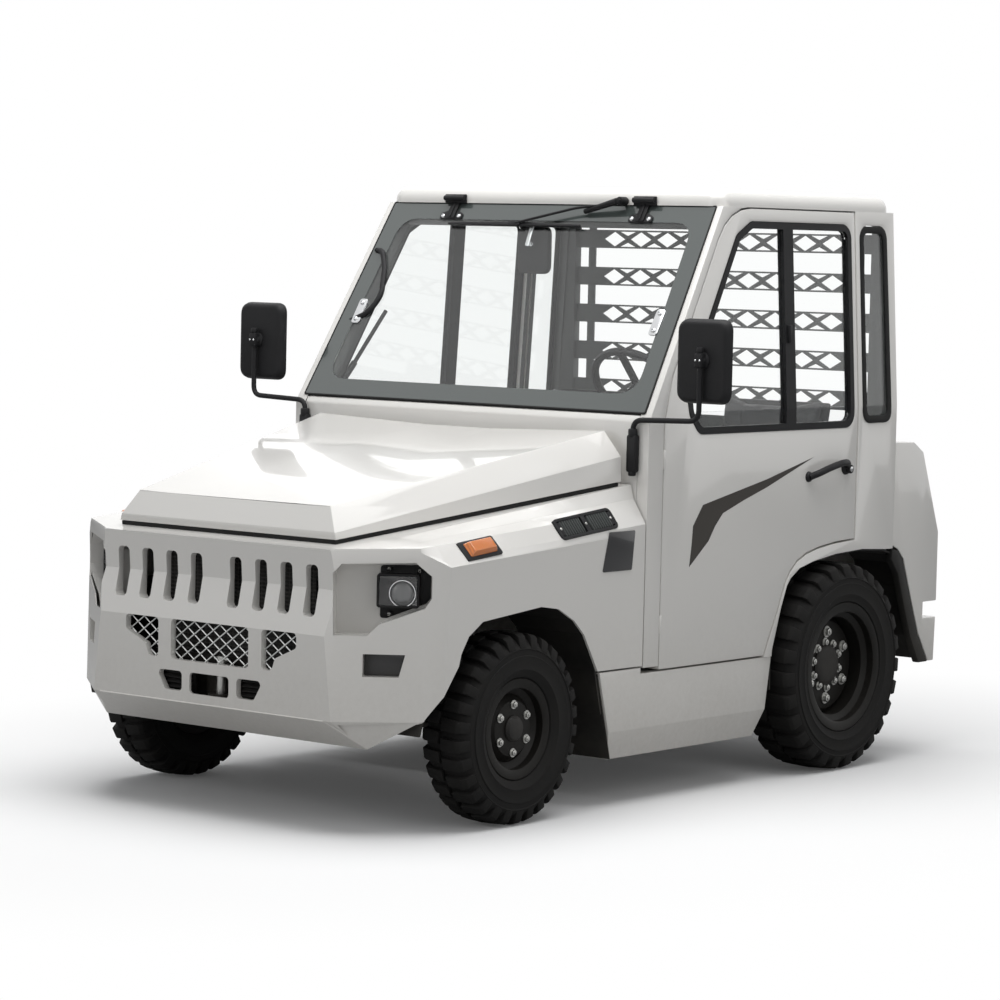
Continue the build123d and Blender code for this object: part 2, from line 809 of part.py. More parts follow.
# Cab frame: two sides, windscreen frame, rear frame and roof rails, as one welded shell
with BuildPart() as cab_frame:
    side = side_panel(cab_outline, 0, cab_wall)
    add(side)
    add(mirror(side, about=Plane.YZ, mode=Mode.PRIVATE))
    # Windscreen frame, behind the pane
    with BuildSketch(screen_plane.offset(-glass)) as frame_sketch:
        add(screen_outline(0))
        add(screen_outline(screen_frame_w), mode=Mode.SUBTRACT)
    extrude(amount=-cab_wall)
    # Rear frame and roof rails
    with BuildSketch(Plane.XZ.offset(-cab_back)):
        Polygon(*both_sides([(body_half - 2, 795), (body_half - 2, belt_z), (body_half - cab_lean + 2, roof_z)]), align=None)
        with Locations((0, (tail_top_z + 60 + 1836) / 2)):
            Rectangle(2 * (body_half - cab_lean - cab_wall - 20), 1836 - tail_top_z - 60, mode=Mode.SUBTRACT)
    extrude(amount=rear_frame)
    head_y = fy(screen_foot) + (roof_z - screen_foot_z) * screen_slope
    with Locations((0, (head_y + cab_back) / 2 + 20, roof_z - 18)):
        Box(2 * (body_half - cab_lean - 20), cab_back - head_y - 40, 36)
    with Locations((0, (head_y + cab_back) / 2 + 20, roof_z - 18)):
        Box(2 * (body_half - cab_lean - 75), cab_back - head_y - 150, 36, mode=Mode.SUBTRACT)
    # The pane's rebate, the door openings and the quarter windows
    with BuildSketch(screen_plane.offset(-glass)):
        add(screen_outline(-seat_gap))
    extrude(amount=60, mode=Mode.SUBTRACT)
    for hole in (
        side_panel(door_outline, -20, cab_wall + moving_gap, door_gap),
        side_panel(quarter_outline, -20, cab_wall + 40, corner=window_corner),
    ):
        add(hole, mode=Mode.SUBTRACT)
        add(mirror(hole, about=Plane.YZ, mode=Mode.PRIVATE), mode=Mode.SUBTRACT)
save(cab_frame, "cab_frame")

# Roof cap, flush with the cab's sides and rounded all round its top
roof_half = body_half - cab_lean * (roof_z - belt_z) / (cab_roof_z - belt_z)
roof_corner = 62
roof_edge = min(46, cab_roof_z - roof_z - 6)
with BuildPart() as roof:
    with BuildSketch(Plane.XY.offset(roof_z)):
        with Locations((0, (head_y + cab_back) / 2 - 3)):
            RectangleRounded(2 * roof_half, cab_back - head_y + 6, roof_corner)
    extrude(amount=cab_roof_z - roof_z)
    fillet(roof.faces().sort_by(Axis.Z)[-1].edges(), radius=roof_edge)
save(roof, "roof")

# Cowl: the wall between engine bay and cab, with the panel below the windscreen
cowl_half = body_half - cab_wall
with BuildPart() as cowl:
    with BuildSketch(Plane.YZ):
        Polygon(
            (fy(cab_front), floor_z),
            (fy(cab_front), screen_foot_z - 25),
            (fy(screen_foot), screen_foot_z - 5),
            (fy(screen_foot) + 4, screen_foot_z - 8),
            (fy(screen_foot) + 40, screen_foot_z - 34),
            (fy(cab_front) + 24, screen_foot_z - 50),
            (fy(cab_front) + 24, floor_z),
            align=None,
        )
    extrude(amount=cowl_half, both=True)
save(cowl, "cowl")

# Floor: foot well, then a step up to the seat deck
floor_half = body_half - cab_wall - moving_gap
with BuildPart() as cab_floor:
    with BuildSketch(Plane.YZ):
        Polygon(
            (fy(cab_front), floor_z),
            (ry(-400), floor_z),
            (ry(-400), seat_deck_z),
            (cab_back - rear_frame - seat_gap, seat_deck_z),
            (cab_back - rear_frame - seat_gap, seat_deck_z - plate),
            (ry(-400) + plate, seat_deck_z - plate),
            (ry(-400) + plate, rail_top + seat_gap),
            (fy(cab_front), rail_top + seat_gap),
            align=None,
        )
    extrude(amount=floor_half, both=True)
save(cab_floor, "cab_floor")

# Windscreen pane, hung outside its frame
with BuildPart() as windscreen:
    with BuildSketch(screen_plane.offset(-glass)):
        add(screen_outline(0))
    extrude(amount=glass)
save(windscreen, "windscreen")

# Doors: leaf, black window frame with its bar and handle, and pane
leaf = side_panel(door_outline, 0, cab_wall)
window_hole = side_panel(window_outline, -20, 300, corner=window_corner)
with BuildPart() as door_left:
    add(leaf)
    add(window_hole, mode=Mode.SUBTRACT)
save(door_left, "door_left")

window_bar_y = fy(1385)
window_rim = 22
with BuildPart() as door_trim_left:
    add(side_panel(window_outline, -trim_proud, 26, corner=window_corner))
    add(side_panel(window_outline, -20, 300, -window_rim, window_corner), mode=Mode.SUBTRACT)
    bar_line = [
        (window_bar_y - 28, 1160),
        (window_bar_y + 28, 1160),
        (window_bar_y + 28, 1830),
        (window_bar_y - 28, 1830),
    ]
    add(side_panel(bar_line, -trim_proud, 26))
save(door_trim_left, "door_trim_left")

with BuildPart() as door_glass_left:
    add(side_panel(window_outline, 10, 10 + glass, -window_rim, window_corner))
    add(side_panel(bar_line, -20, 300), mode=Mode.SUBTRACT)
save(door_glass_left, "door_glass_left")

for name, left in (("door", door_left), ("door_trim", door_trim_left), ("door_glass", door_glass_left)):
    with BuildPart() as right_side:
        add(mirror(left.part, about=Plane.YZ))
    save(right_side, name + "_right")

# Quarter panes behind the doors
with BuildPart() as quarter_windows:
    add(side_panel(quarter_outline, 6, 6 + glass, corner=window_corner))
    mirror(about=Plane.YZ)
save(quarter_windows, "quarter_windows")

# Sills below the doors: folded panels on the outriggers
sill_line = [
    (fy(386), sill_top_z + 19),
    (fy(nose_end), sill_top_z + 19),
    (fy(nose_end), sill_top_z),
    (ry(-386), sill_top_z),
    (ry(-414), sill_top_z - 172),
    (ry(-454), sill_top_z - sill_h),
    (fy(462), sill_top_z - sill_h),
]
sill_x = 640
sill_tuck = 22


def sill_form(inset):
    """Solid of the left sill in by a wall, whose foot tucks under."""
    face = body_half - 4 - inset
    with BuildPart() as form:
        with BuildSketch(Plane.YZ.offset(sill_x)):
            outline(sill_line, -inset)
        extrude(amount=face - sill_x)
        with BuildSketch(Plane.XZ):
            Polygon(
                (body_half, sill_top_z - 172),
                (face, sill_top_z - 172),
                (face - sill_tuck, sill_top_z - sill_h),
                (body_half, sill_top_z - sill_h),
                align=None,
            )
        extrude(amount=4000, both=True, mode=Mode.SUBTRACT)
    return form.part


with BuildPart() as sills:
    add(sill_form(0))
    add(sill_form(body_wall), mode=Mode.SUBTRACT)
    mirror(about=Plane.YZ)
save(sills, "sills")


def band(points, low_x, high_x, thickness):
    """Left wheel house sheet: a folded line seen from the side, with a thickness outward."""
    with BuildPart() as sheet:
        with BuildSketch(Plane.YZ.offset(low_x)):
            with BuildLine() as path:
                Polyline(*points)
                offset(amount=thickness, side=Side.LEFT)
            make_face()
        extrude(amount=high_x - low_x)
    return sheet.part


front_house = front_points(
    (-396, 300),
    (-396, 355),
    (-288, 508),
    (-279, 545),
    (-249, 594),
    (-189, 634),
    (85, arch_front_z + 8),
    (172, 646),
    (253, 604),
    (305, 558),
    (368, 440),
    (405, 300),
)
with BuildPart() as front_liners:
    add(band(front_house, 470, 780, 6))
    add(nose_form(body_wall + seat_gap), mode=Mode.INTERSECT)
    mirror(about=Plane.YZ)
save(front_liners, "front_liners")

rear_house = [
    (ry(y), z)
    for y, z in (
        (-376, 300),
        (-378, 412),
        (-380, 433),
        (-335, 567),
        (-304, 636),
        (-284, 658),
        (-234, 688),
        (-154, 707),
        (-24, 724),
        (134, 732),
        (284, 724),
        (352, 706),
        (396, 675),
        (462, 510),
        (500, 415),
        (560, 330),
    )
]
with BuildPart() as rear_liners:
    liner_half = body_half - 3 - body_wall - seat_gap
    add(band(rear_house, 540, liner_half, 6))
    # Stay back to the chassis outrigger
    stay_front, stay_rear = ry(424), ry(rear_stay - 20) - seat_gap
    with Locations(((540 + liner_half) / 2, (stay_front + stay_rear) / 2, rail_top + rail_kick - 10)):
        Box(160, stay_rear - stay_front, 16)
    mirror(about=Plane.YZ)
save(rear_liners, "rear_liners")

# Rear bodywork: a box with a sloped back and a groove across it
tail = rear_overhang
tail_line = [
    (ry(tail_front), tail_top_z),
    (ry(451), tail_top_z - 2),
    (ry(512), tail_top_z - 38),
    (ry(tail), 774),
    (ry(tail), groove_z + groove_h),
    (ry(tail - groove_depth), groove_z + groove_h),
    (ry(tail - groove_depth), groove_z),
    (ry(tail - 2), groove_z),
    (ry(tail - 8), 322),
    (ry(583), 322),
    (ry(515), 424),
    (ry(472), 526),
    (ry(406), 690),
    (ry(368), 726),
    (ry(tail_front), 741),
]
tail_inside = [
    (ry(tail_front) - 20, tail_top_z - body_wall),
    (ry(448), tail_top_z - body_wall - 2),
    (ry(506), tail_top_z - 43),
    (ry(tail - body_wall), 772),
    (ry(tail - body_wall), groove_z + groove_h + body_wall),
    (ry(tail - groove_depth - body_wall), groove_z + groove_h + body_wall),
    (ry(tail - groove_depth - body_wall), groove_z - body_wall),
    (ry(tail - 2 - body_wall), groove_z - body_wall),
    (ry(tail - 8 - body_wall), 300),
    (ry(tail_front) - 20, 300),
]
with BuildPart() as rear_body:
    with BuildSketch(Plane.YZ):
        outline(tail_line)
    extrude(amount=body_half - 3, both=True)
    with BuildSketch(Plane.YZ):
        outline(tail_inside)
    extrude(amount=body_half - 3 - body_wall, both=True, mode=Mode.SUBTRACT)
    with Locations((0, ry(tail), (300 + groove_z - body_wall - 2) / 2)):
        Box(300, 80, groove_z - body_wall - 2 - 300, mode=Mode.SUBTRACT)
save(rear_body, "rear_body")

# Tail lamps at the back of the groove
with BuildPart() as rear_lamps:
    with Locations((body_half - 120, ry(tail - groove_depth) + 18, groove_z + groove_h / 2)):
        Box(170, 36, groove_h - 8)
    mirror(about=Plane.YZ)
save(rear_lamps, "rear_lamps")


def hitch(root_y, reach, tip_r, rear):
    """Jaw of two plates with one pin bore, from its root plate towards the front or the rear."""
    way = 1 if rear else -1
    with BuildPart() as jaw:
        with Locations((0, root_y + way * 12, hitch_z)):
            Box(150, 24, hitch_jaw + 2 * hitch_plate)
        for side in (-1, 1):
            level = hitch_z + side * (hitch_jaw + hitch_plate) / 2
            with BuildSketch(Plane.XY.offset(level - hitch_plate / 2)):
                tip = root_y + way * (reach - tip_r)
                with Locations((0, (root_y + tip) / 2)):
                    Rectangle(2 * tip_r, abs(tip - root_y))
                with Locations((0, tip)):
                    Circle(tip_r)
                    Circle(hitch_bore_r, mode=Mode.SUBTRACT)
            extrude(amount=hitch_plate)
    return jaw.part


with BuildPart() as rear_hitch:
    add(hitch(ry(frame_end) + plate, rear_overhang + hitch_reach - frame_end - plate, 50, True))
save(rear_hitch, "rear_hitch")
with BuildPart() as front_hitch:
    add(hitch(fy(-470) - plate, front_overhang - 470 - plate - body_wall - 10, 40, False))
save(front_hitch, "front_hitch")

# Mesh panels set into the front openings
with BuildPart() as grille_mesh:
    with BuildSketch(Plane.XZ.offset(-fy(mesh_station))):
        for points in (wing_outline, low_wing_outline):
            outline(points, corner=grille_corner)
            outline([(-x, z) for x, z in points], corner=grille_corner)
        outline(centre_outline, corner=grille_corner)
    extrude(amount=3)
save(grille_mesh, "grille_mesh")

# Headlamps: a bracket on the recess floor, a lamp body and its round lens
lamp_u, lamp_z = 198, 716
lens_r = 33
with BuildPart() as headlamps:
    with BuildSketch(facet_plane.offset(-body_wall - lamp_depth + 1)):
        with Locations((lamp_u + 10, lamp_z)):
            Rectangle(150, 128)
        outline(lamp_outline, -2, Mode.INTERSECT)
    extrude(amount=6)
    with BuildSketch(facet_plane.offset(-body_wall - lamp_depth + 7)):
        with Locations((lamp_u, lamp_z)):
            RectangleRounded(144, 112, 10)
        outline(lamp_outline, -2, Mode.INTERSECT)
    extrude(amount=34)
    with BuildSketch(facet_plane.offset(-body_wall - lamp_depth + 41)):
        with Locations((lamp_u, lamp_z)):
            Circle(lens_r)
    extrude(amount=16, taper=14)
    mirror(about=Plane.YZ)
save(headlamps, "headlamps")


with BuildPart() as indicators:
    with BuildSketch(shoulder_plane(indicator_station).offset(-14)):
        Rectangle(162, 68)
    extrude(amount=18)
    mirror(about=Plane.YZ)
save(indicators, "indicators")
with BuildPart() as side_vents:
    with BuildSketch(shoulder_plane(vent_station).offset(-14)):
        RectangleRounded(284, 74, 20)
    extrude(amount=18)
    mirror(about=Plane.YZ)
save(side_vents, "side_vents")

# Windscreen hinges on the roof's front face, and stay brackets on the pane
hinge_x = 400
roof_front = head_y - 6
with BuildPart() as windscreen_hinges:
    with BuildSketch(screen_plane):
        with Locations((hinge_x, screen_length - 36)):
            Rectangle(96, 60)
    extrude(amount=5)
    with Locations((hinge_x, roof_front - 6, roof_z + 12)):
        Box(52, 12, 36)
    with Locations((hinge_x, roof_front - 12, roof_z + 16)):
        Cylinder(9, 86, rotation=(0, 90, 0))
    mirror(about=Plane.YZ)
save(windscreen_hinges, "windscreen_hinges")
with BuildPart() as screen_brackets:
    with BuildSketch(screen_plane):
        with Locations((screen_half_foot - 90, 330)):
            RectangleRounded(34, 96, 12)
    extrude(amount=6)
    mirror(about=Plane.YZ)
save(screen_brackets, "screen_brackets")

# Wiper parked along the top of the pane
with BuildPart() as wiper:
    with BuildSketch(screen_plane):
        with Locations((-110, screen_length - 92)):
            Rectangle(580, 10)
    extrude(amount=16)
    with BuildSketch(screen_plane.offset(16)):
        Polygon(
            (-80, screen_length - 96),
            (-60, screen_length - 82),
            (314, screen_length + 14),
            (326, screen_length + 2),
            (-60, screen_length - 98),
            align=None,
        )
    extrude(amount=8)
    with Locations((318, roof_front - 14, roof_z + 12)):
        Cylinder(11, 28, rotation=(90, 0, 0))
save(wiper, "wiper")

# Mirrors: a foot on the cab's front, a bent tube and a head
mirror_foot = (690, fy(cab_front) - 13, 1086)
mirror_head = (927, fy(640), 1396)
with BuildPart() as mirrors:
    with Locations((mirror_foot[0], fy(cab_front) - 7, mirror_foot[2])):
        Box(34, 14, 100)
    foot_y = fy(cab_front) - 14 - 4
    with BuildLine() as arm_path:
        FilletPolyline(
            (mirror_foot[0], foot_y, 1040),
            (mirror_foot[0], foot_y, 1205),
            (mirror_head[0] + 8, mirror_head[1] - 30, 1212),
            (mirror_head[0] + 8, mirror_head[1] - 30, 1410),
            radius=26,
        )
    with BuildSketch(Plane(origin=(mirror_foot[0], foot_y, 1040), z_dir=(0, 0, 1))):
        Circle(8)
    sweep()
    with BuildSketch(Plane.XZ.offset(-mirror_head[1] + 26)):
        with Locations((mirror_head[0], mirror_head[2])):
            RectangleRounded(208, 272, 34)
    extrude(amount=-34)
    mirror(about=Plane.YZ)
save(mirrors, "mirrors")

# Rear guard: slats between two posts in the rear opening
guard_half = body_half - cab_lean - cab_wall - 20
guard_low, guard_high = tail_top_z + 60, 1836
with BuildPart() as rear_guard:
    for index in range(5):
        level = guard_low + 75 + index * 135
        with Locations((0, cab_back - rear_frame / 2, level)):
            Box(2 * guard_half, 6, 66)
    for x in (-guard_half + 60, guard_half - 60):
        with Locations((x, cab_back - rear_frame / 2 + 8, (guard_low + guard_high) / 2)):
            Box(30, 10, guard_high - guard_low)
save(rear_guard, "rear_guard")

# Dashboard across the cab front
with BuildPart() as dashboard:
    with BuildSketch(Plane.YZ):
        with BuildLine():
            front_y = fy(cab_front) + 24 + seat_gap
            Polyline(
                (front_y, 930),
                (front_y, screen_foot_z - 62),
                (fy(700), 1180),
                (fy(800), 1165),
                (fy(880), 1130),
                (fy(870), 1090),
                (fy(790), 940),
                (front_y, 930),
            )
        make_face()
    extrude(amount=cowl_half - 70, both=True)
save(dashboard, "dashboard")

# Steering column out of the dashboard's rear face, and the wheel on it
driver_x = 380
wheel_tilt = 48
wheel_centre = (driver_x, fy(1050), 1275)
column_length = 250
wheel_r = 185
column_r = 26
wheel_plane_up = Plane(
    origin=wheel_centre,
    x_dir=(1, 0, 0),
    z_dir=(0, sin(radians(wheel_tilt)), cos(radians(wheel_tilt))),
)
with BuildPart() as steering_column:
    with BuildSketch(wheel_plane_up.offset(-40)):
        Circle(column_r)
    extrude(amount=-column_length)
    add(dashboard.part, mode=Mode.SUBTRACT)
save(steering_column, "steering_column")
hub_gap = moving_gap
with BuildPart() as steering_wheel:
    with BuildSketch(Plane(origin=wheel_centre, x_dir=wheel_plane_up.z_dir, z_dir=(1, 0, 0))):
        with Locations((0, wheel_r - 13)):
            RegularPolygon(13, 8)
    revolve(axis=Axis(wheel_centre, wheel_plane_up.z_dir))
    with BuildSketch(wheel_plane_up.offset(-40 + hub_gap)):
        Circle(40)
    extrude(amount=40 - hub_gap + 4)
    with BuildSketch(wheel_plane_up.offset(-12)):
        with PolarLocations(wheel_r / 2 - 4, 3, start_angle=-90):
            Rectangle(wheel_r - 22, 26)
    extrude(amount=10)
save(steering_wheel, "steering_wheel")

# Seats on the deck: a plain base, cushion and back
seat_w = 470
cushion_z = 930
seats_x = (driver_x, -driver_x)
with BuildPart() as seat_bases:
    for x in seats_x:
        with Locations((x, ry(-140), (seat_deck_z + cushion_z - 100) / 2)):
            Box(400, 380, cushion_z - 100 - seat_deck_z)
save(seat_bases, "seat_bases")
with BuildPart() as seats:
    for x in seats_x:
        with BuildSketch(Plane.YZ.offset(x)):
            Polygon(
                (ry(-370), cushion_z - 100 + seat_gap),
                (ry(70), cushion_z - 100 + seat_gap),
                (ry(150), 1250),
                (ry(70), 1250),
                (ry(0), cushion_z),
                (ry(-370), cushion_z + 12),
                align=None,
            )
        extrude(amount=seat_w / 2, both=True)
save(seats, "seats")
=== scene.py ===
"""Airport baggage tug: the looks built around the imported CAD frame.

Every size is in metres in the frame's own axes: -Y forward, +X the vehicle's left, +Z up.
"""

from __future__ import annotations

import json
import logging
import math
from dataclasses import dataclass, field
from enum import Enum
from typing import Any, Iterable, Sequence

import bpy
from mathutils import Matrix, Vector

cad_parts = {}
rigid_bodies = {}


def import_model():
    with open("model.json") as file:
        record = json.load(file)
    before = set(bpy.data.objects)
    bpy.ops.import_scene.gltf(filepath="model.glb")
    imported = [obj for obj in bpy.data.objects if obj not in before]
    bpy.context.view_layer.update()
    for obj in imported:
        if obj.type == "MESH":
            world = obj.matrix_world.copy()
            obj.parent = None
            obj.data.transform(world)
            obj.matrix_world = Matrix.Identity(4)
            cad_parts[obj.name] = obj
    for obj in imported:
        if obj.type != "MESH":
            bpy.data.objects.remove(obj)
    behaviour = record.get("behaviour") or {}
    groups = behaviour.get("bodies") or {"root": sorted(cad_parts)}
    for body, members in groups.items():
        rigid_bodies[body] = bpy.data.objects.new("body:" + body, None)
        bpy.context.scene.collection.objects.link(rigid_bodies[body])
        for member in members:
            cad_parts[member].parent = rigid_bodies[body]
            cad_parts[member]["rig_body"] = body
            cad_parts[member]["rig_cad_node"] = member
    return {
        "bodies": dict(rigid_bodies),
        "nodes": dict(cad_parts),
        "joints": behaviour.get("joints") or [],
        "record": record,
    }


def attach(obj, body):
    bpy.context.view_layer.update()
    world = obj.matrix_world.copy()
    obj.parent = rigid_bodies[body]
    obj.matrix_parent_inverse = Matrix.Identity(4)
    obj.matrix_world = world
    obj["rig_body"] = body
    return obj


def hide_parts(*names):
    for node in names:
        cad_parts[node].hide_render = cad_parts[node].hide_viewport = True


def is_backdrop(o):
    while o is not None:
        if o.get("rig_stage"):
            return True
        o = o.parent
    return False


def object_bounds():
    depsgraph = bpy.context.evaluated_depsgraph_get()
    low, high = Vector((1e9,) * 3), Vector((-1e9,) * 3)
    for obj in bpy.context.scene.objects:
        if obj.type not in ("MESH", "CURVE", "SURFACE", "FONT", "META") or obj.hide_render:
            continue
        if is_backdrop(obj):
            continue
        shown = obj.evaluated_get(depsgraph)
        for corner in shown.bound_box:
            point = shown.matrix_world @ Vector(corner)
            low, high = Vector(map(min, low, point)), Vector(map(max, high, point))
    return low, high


LOG = logging.getLogger("tug")
Point = Sequence[float]
FRONT_AXLE_Y = -0.931
REAR_AXLE_Y = 0.769


class Side(Enum):
    """Which side of the vehicle a piece is on, as the sign of its X."""

    LEFT = 1
    RIGHT = -1

    @property
    def word(self) -> str:
        """The side's word in piece and node names."""
        return self.name.lower()


# Shader graph helpers


class Shade:
    """One shader socket with arithmetic on it."""

    def __init__(self, graph: "Graph", socket: Any) -> None:
        """Wraps a socket.

        Args:
            graph: The material graph the socket belongs to.
            socket: An output socket.
        """
        self.graph = graph
        self.socket = socket

    def _math(self, operation: str, *values: Any) -> "Shade":
        """A Math node over the values."""
        return self.graph.node("ShaderNodeMath", {"operation": operation}, dict(enumerate(values)))

    def __add__(self, other: Any) -> "Shade":
        """Sum."""
        return self._math("ADD", self, other)

    __radd__ = __add__

    def __mul__(self, other: Any) -> "Shade":
        """Product."""
        return self._math("MULTIPLY", self, other)

    def __sub__(self, other: Any) -> "Shade":
        """Difference."""
        return self._math("SUBTRACT", self, other)

    def __rsub__(self, other: Any) -> "Shade":
        """Reflected difference."""
        return self._math("SUBTRACT", other, self)

    def __pow__(self, other: float) -> "Shade":
        """Power."""
        return self._math("POWER", self, other)

    def clamp(self) -> "Shade":
        """The value held between 0 and 1."""
        return self._math("MINIMUM", self._math("MAXIMUM", self, 0.0), 1.0)

    def step(self, low: float, high: float) -> "Shade":
        """A smooth ramp from 0 at low to 1 at high."""
        return self.graph.node(
            "ShaderNodeMapRange", {"interpolation_type": "SMOOTHSTEP"},
            {"Value": self, "From Min": low, "From Max": high, "To Min": 0.0, "To Max": 1.0},
        )

    def sine(self) -> "Shade":
        """Sine of the value."""
        return self._math("SINE", self)


class Graph:
    """A material's node tree, with one method that makes any node."""

    def __init__(self, name: str) -> None:
        """Makes an empty material.

        Args:
            name: The material's name.
        """
        self.material = bpy.data.materials.new(name)
        self.material.use_nodes = True
        self.tree = self.material.node_tree
        self.tree.nodes.clear()

    def node(self, kind: str, settings: dict[str, Any] | None = None, values: dict[Any, Any] | None = None,
             out: Any = 0) -> Shade:
        """Adds a node.

        Args:
            kind: Blender's node type.
            settings: Properties of the node, set before its sockets.
            values: Socket names or numbers to plain values or Shades.
            out: Name or number of the output wanted.

        Returns:
            The wanted output.
        """
        made = self.tree.nodes.new(kind)
        for key, value in (settings or {}).items():
            if key == "stops":
                ramp = made.color_ramp.elements
                while len(ramp) < len(value):
                    ramp.new(0.5)
                for element, (place, colour) in zip(ramp, value):
                    element.position = place
                    element.color = (*colour, 1.0)
            else:
                setattr(made, key, value)
        for key, value in (values or {}).items():
            if isinstance(value, Shade):
                self.tree.links.new(value.socket, made.inputs[key])
            else:
                made.inputs[key].default_value = value
        return Shade(self, made.outputs[out])

    def place(self) -> Shade:
        """Object coordinates, in metres."""
        return self.node("ShaderNodeTexCoord", out="Object")

    def axis(self, name: str) -> Shade:
        """One of the X, Y and Z object coordinates."""
        return self.node("ShaderNodeSeparateXYZ", values={0: self.place()}, out=name)

    def noise(self, scale: float, detail: float = 3.0, rough: float = 0.5,
        stretch: Point = (1, 1, 1)) -> Shade:
        """Noise in object space.

        Args:
            scale: Cells per metre.
            detail: Octaves.
            rough: Weight of the finer octaves.
            stretch: Scale of each axis.

        Returns:
            A value around 0.5.
        """
        place = self.node("ShaderNodeMapping", values={"Vector": self.place(), "Scale": tuple(stretch)})
        return self.node(
            "ShaderNodeTexNoise",
            values={"Vector": place, "Scale": scale, "Detail": detail, "Roughness": rough},
        )

    def cells(self, scale: float, out: str = "Distance") -> Shade:
        """Voronoi cells in object space."""
        return self.node("ShaderNodeTexVoronoi", values={"Vector": self.place(), "Scale": scale}, out=out)

    def mix(self, share: Any, low: Any, high: Any) -> Shade:
        """Mixes two colours by a share from 0 to 1."""
        made = self.tree.nodes.new("ShaderNodeMix")
        made.data_type = "RGBA"
        for socket, value in ((made.inputs[0], share), (made.inputs[6], low), (made.inputs[7], high)):
            if isinstance(value, Shade):
                self.tree.links.new(value.socket, socket)
            else:
                socket.default_value = (*value, 1.0) if isinstance(value, tuple) else value
        return Shade(self, made.outputs[2])

    def bump(self, height: Shade, depth: float, strength: float = 1.0, under: Shade | None = None) -> Shade:
        """A bump of a given depth in metres.

        Args:
            height: Height from 0 to 1.
            depth: What a height of 1 is, in metres.
            strength: Share of the bump that is used.
            under: A bump to lay this one over.

        Returns:
            The normal.
        """
        values = {"Strength": strength, "Distance": depth, "Height": height}
        if under is not None:
            values["Normal"] = under
        return self.node("ShaderNodeBump", values=values)

    def surface(self, **values: Any) -> bpy.types.Material:
        """Ends the graph in one Principled shader.

        Args:
            values: Sockets by name, with _ for each space.

        Returns:
            The finished material.
        """
        self.shader(self.principled(**values))
        return self.material

    def principled(self, **values: Any) -> Shade:
        """A Principled shader with sockets by name, with _ for each space."""
        named = {}
        for key, value in values.items():
            is_colour = isinstance(value, tuple) and len(value) == 3 and "Radius" not in key
            named[key.replace("_", " ")] = (*value, 1.0) if is_colour else value
        return self.node("ShaderNodeBsdfPrincipled", values=named)

    def shader(self, shade: Shade) -> None:
        """Joins a shader to the material's output."""
        self.node_output = self.tree.nodes.new("ShaderNodeOutputMaterial")
        self.tree.links.new(shade.socket, self.node_output.inputs["Surface"])


# Finishes


@dataclass(frozen=True)
class Paint:
    """Sprayed two-coat paint with faint orange peel, road dust low down and fine dulling."""

    name: str
    colour: tuple[float, float, float]
    rough: float = 0.3
    coat: float = 0.7
    dust: float = 0.35
    dust_top: float = 0.75
    metallic: float = 0.0
    shine: float = 0.5

    def make(self) -> bpy.types.Material:
        """The material."""
        g = Graph(self.name)
        broad = g.noise(2.2, 4.0, 0.6)
        fine = g.noise(60.0, 5.0, 0.65)
        low = 1.0 - g.axis("Z").step(0.18, self.dust_top)
        film = (low * self.dust * (0.35 + broad * 0.8) * (0.4 + fine)).clamp()
        tone = (0.94 + broad * 0.12).clamp()
        clean = g.mix(tone, tuple(c * 0.93 for c in self.colour), self.colour)
        colour = g.mix(film, clean, (0.30, 0.27, 0.22))
        peel = g.noise(420.0, 2.0, 0.5)
        rough = (self.rough + film * 0.45 + (fine - 0.5) * 0.08).clamp()
        return g.surface(
            Base_Color=colour, Roughness=rough, Metallic=self.metallic,
            Coat_Weight=(self.coat - film * 0.9).clamp(), Coat_Roughness=0.06, Specular_IOR_Level=self.shine,
            Normal=g.bump(peel, 0.00012),
        )


@dataclass(frozen=True)
class Moulding:
    """Grained moulded plastic or rubber."""

    name: str
    colour: tuple[float, float, float]
    rough: float = 0.5
    grain: float = 900.0
    depth: float = 0.00022
    dust: float = 0.25

    def make(self) -> bpy.types.Material:
        """The material."""
        g = Graph(self.name)
        broad = g.noise(6.0, 4.0, 0.6)
        cells = g.cells(self.grain)
        fine = g.noise(self.grain * 0.6, 3.0, 0.6)
        dust = ((1.0 - g.axis("Z").step(0.2, 0.9)) * self.dust * (broad * 1.6 - 0.3)).clamp()
        faded = g.mix(
            (broad * 1.4 - 0.3).clamp(), self.colour, tuple(min(1.0, c * 1.5 + 0.004) for c in self.colour)
        )
        return g.surface(
            Base_Color=g.mix(dust, faded, (0.16, 0.145, 0.12)),
            Roughness=(self.rough + (fine - 0.5) * 0.16 + dust * 0.3).clamp(), Specular_IOR_Level=0.2,
            Normal=g.bump(cells * 0.6 + fine * 0.4, self.depth),
        )


@dataclass(frozen=True)
class TyreRubber:
    """Worn industrial tyre rubber with dust in its low places."""

    name: str = "tyre_rubber"

    def make(self) -> bpy.types.Material:
        """The material."""
        g = Graph(self.name)
        broad = g.noise(9.0, 5.0, 0.65)
        fine = g.noise(240.0, 4.0, 0.7)
        dust = (broad * 1.7 - 0.62).clamp() * (0.35 + fine * 0.9)
        base = g.mix(fine, (0.006, 0.006, 0.006), (0.014, 0.0135, 0.013))
        return g.surface(
            Base_Color=g.mix((dust * 0.16).clamp(), base, (0.07, 0.064, 0.055)),
            Roughness=(0.6 + fine * 0.2 + dust * 0.12).clamp(), Specular_IOR_Level=0.16,
            Normal=g.bump(fine * 0.7 + g.cells(700.0) * 0.3, 0.0005),
        )


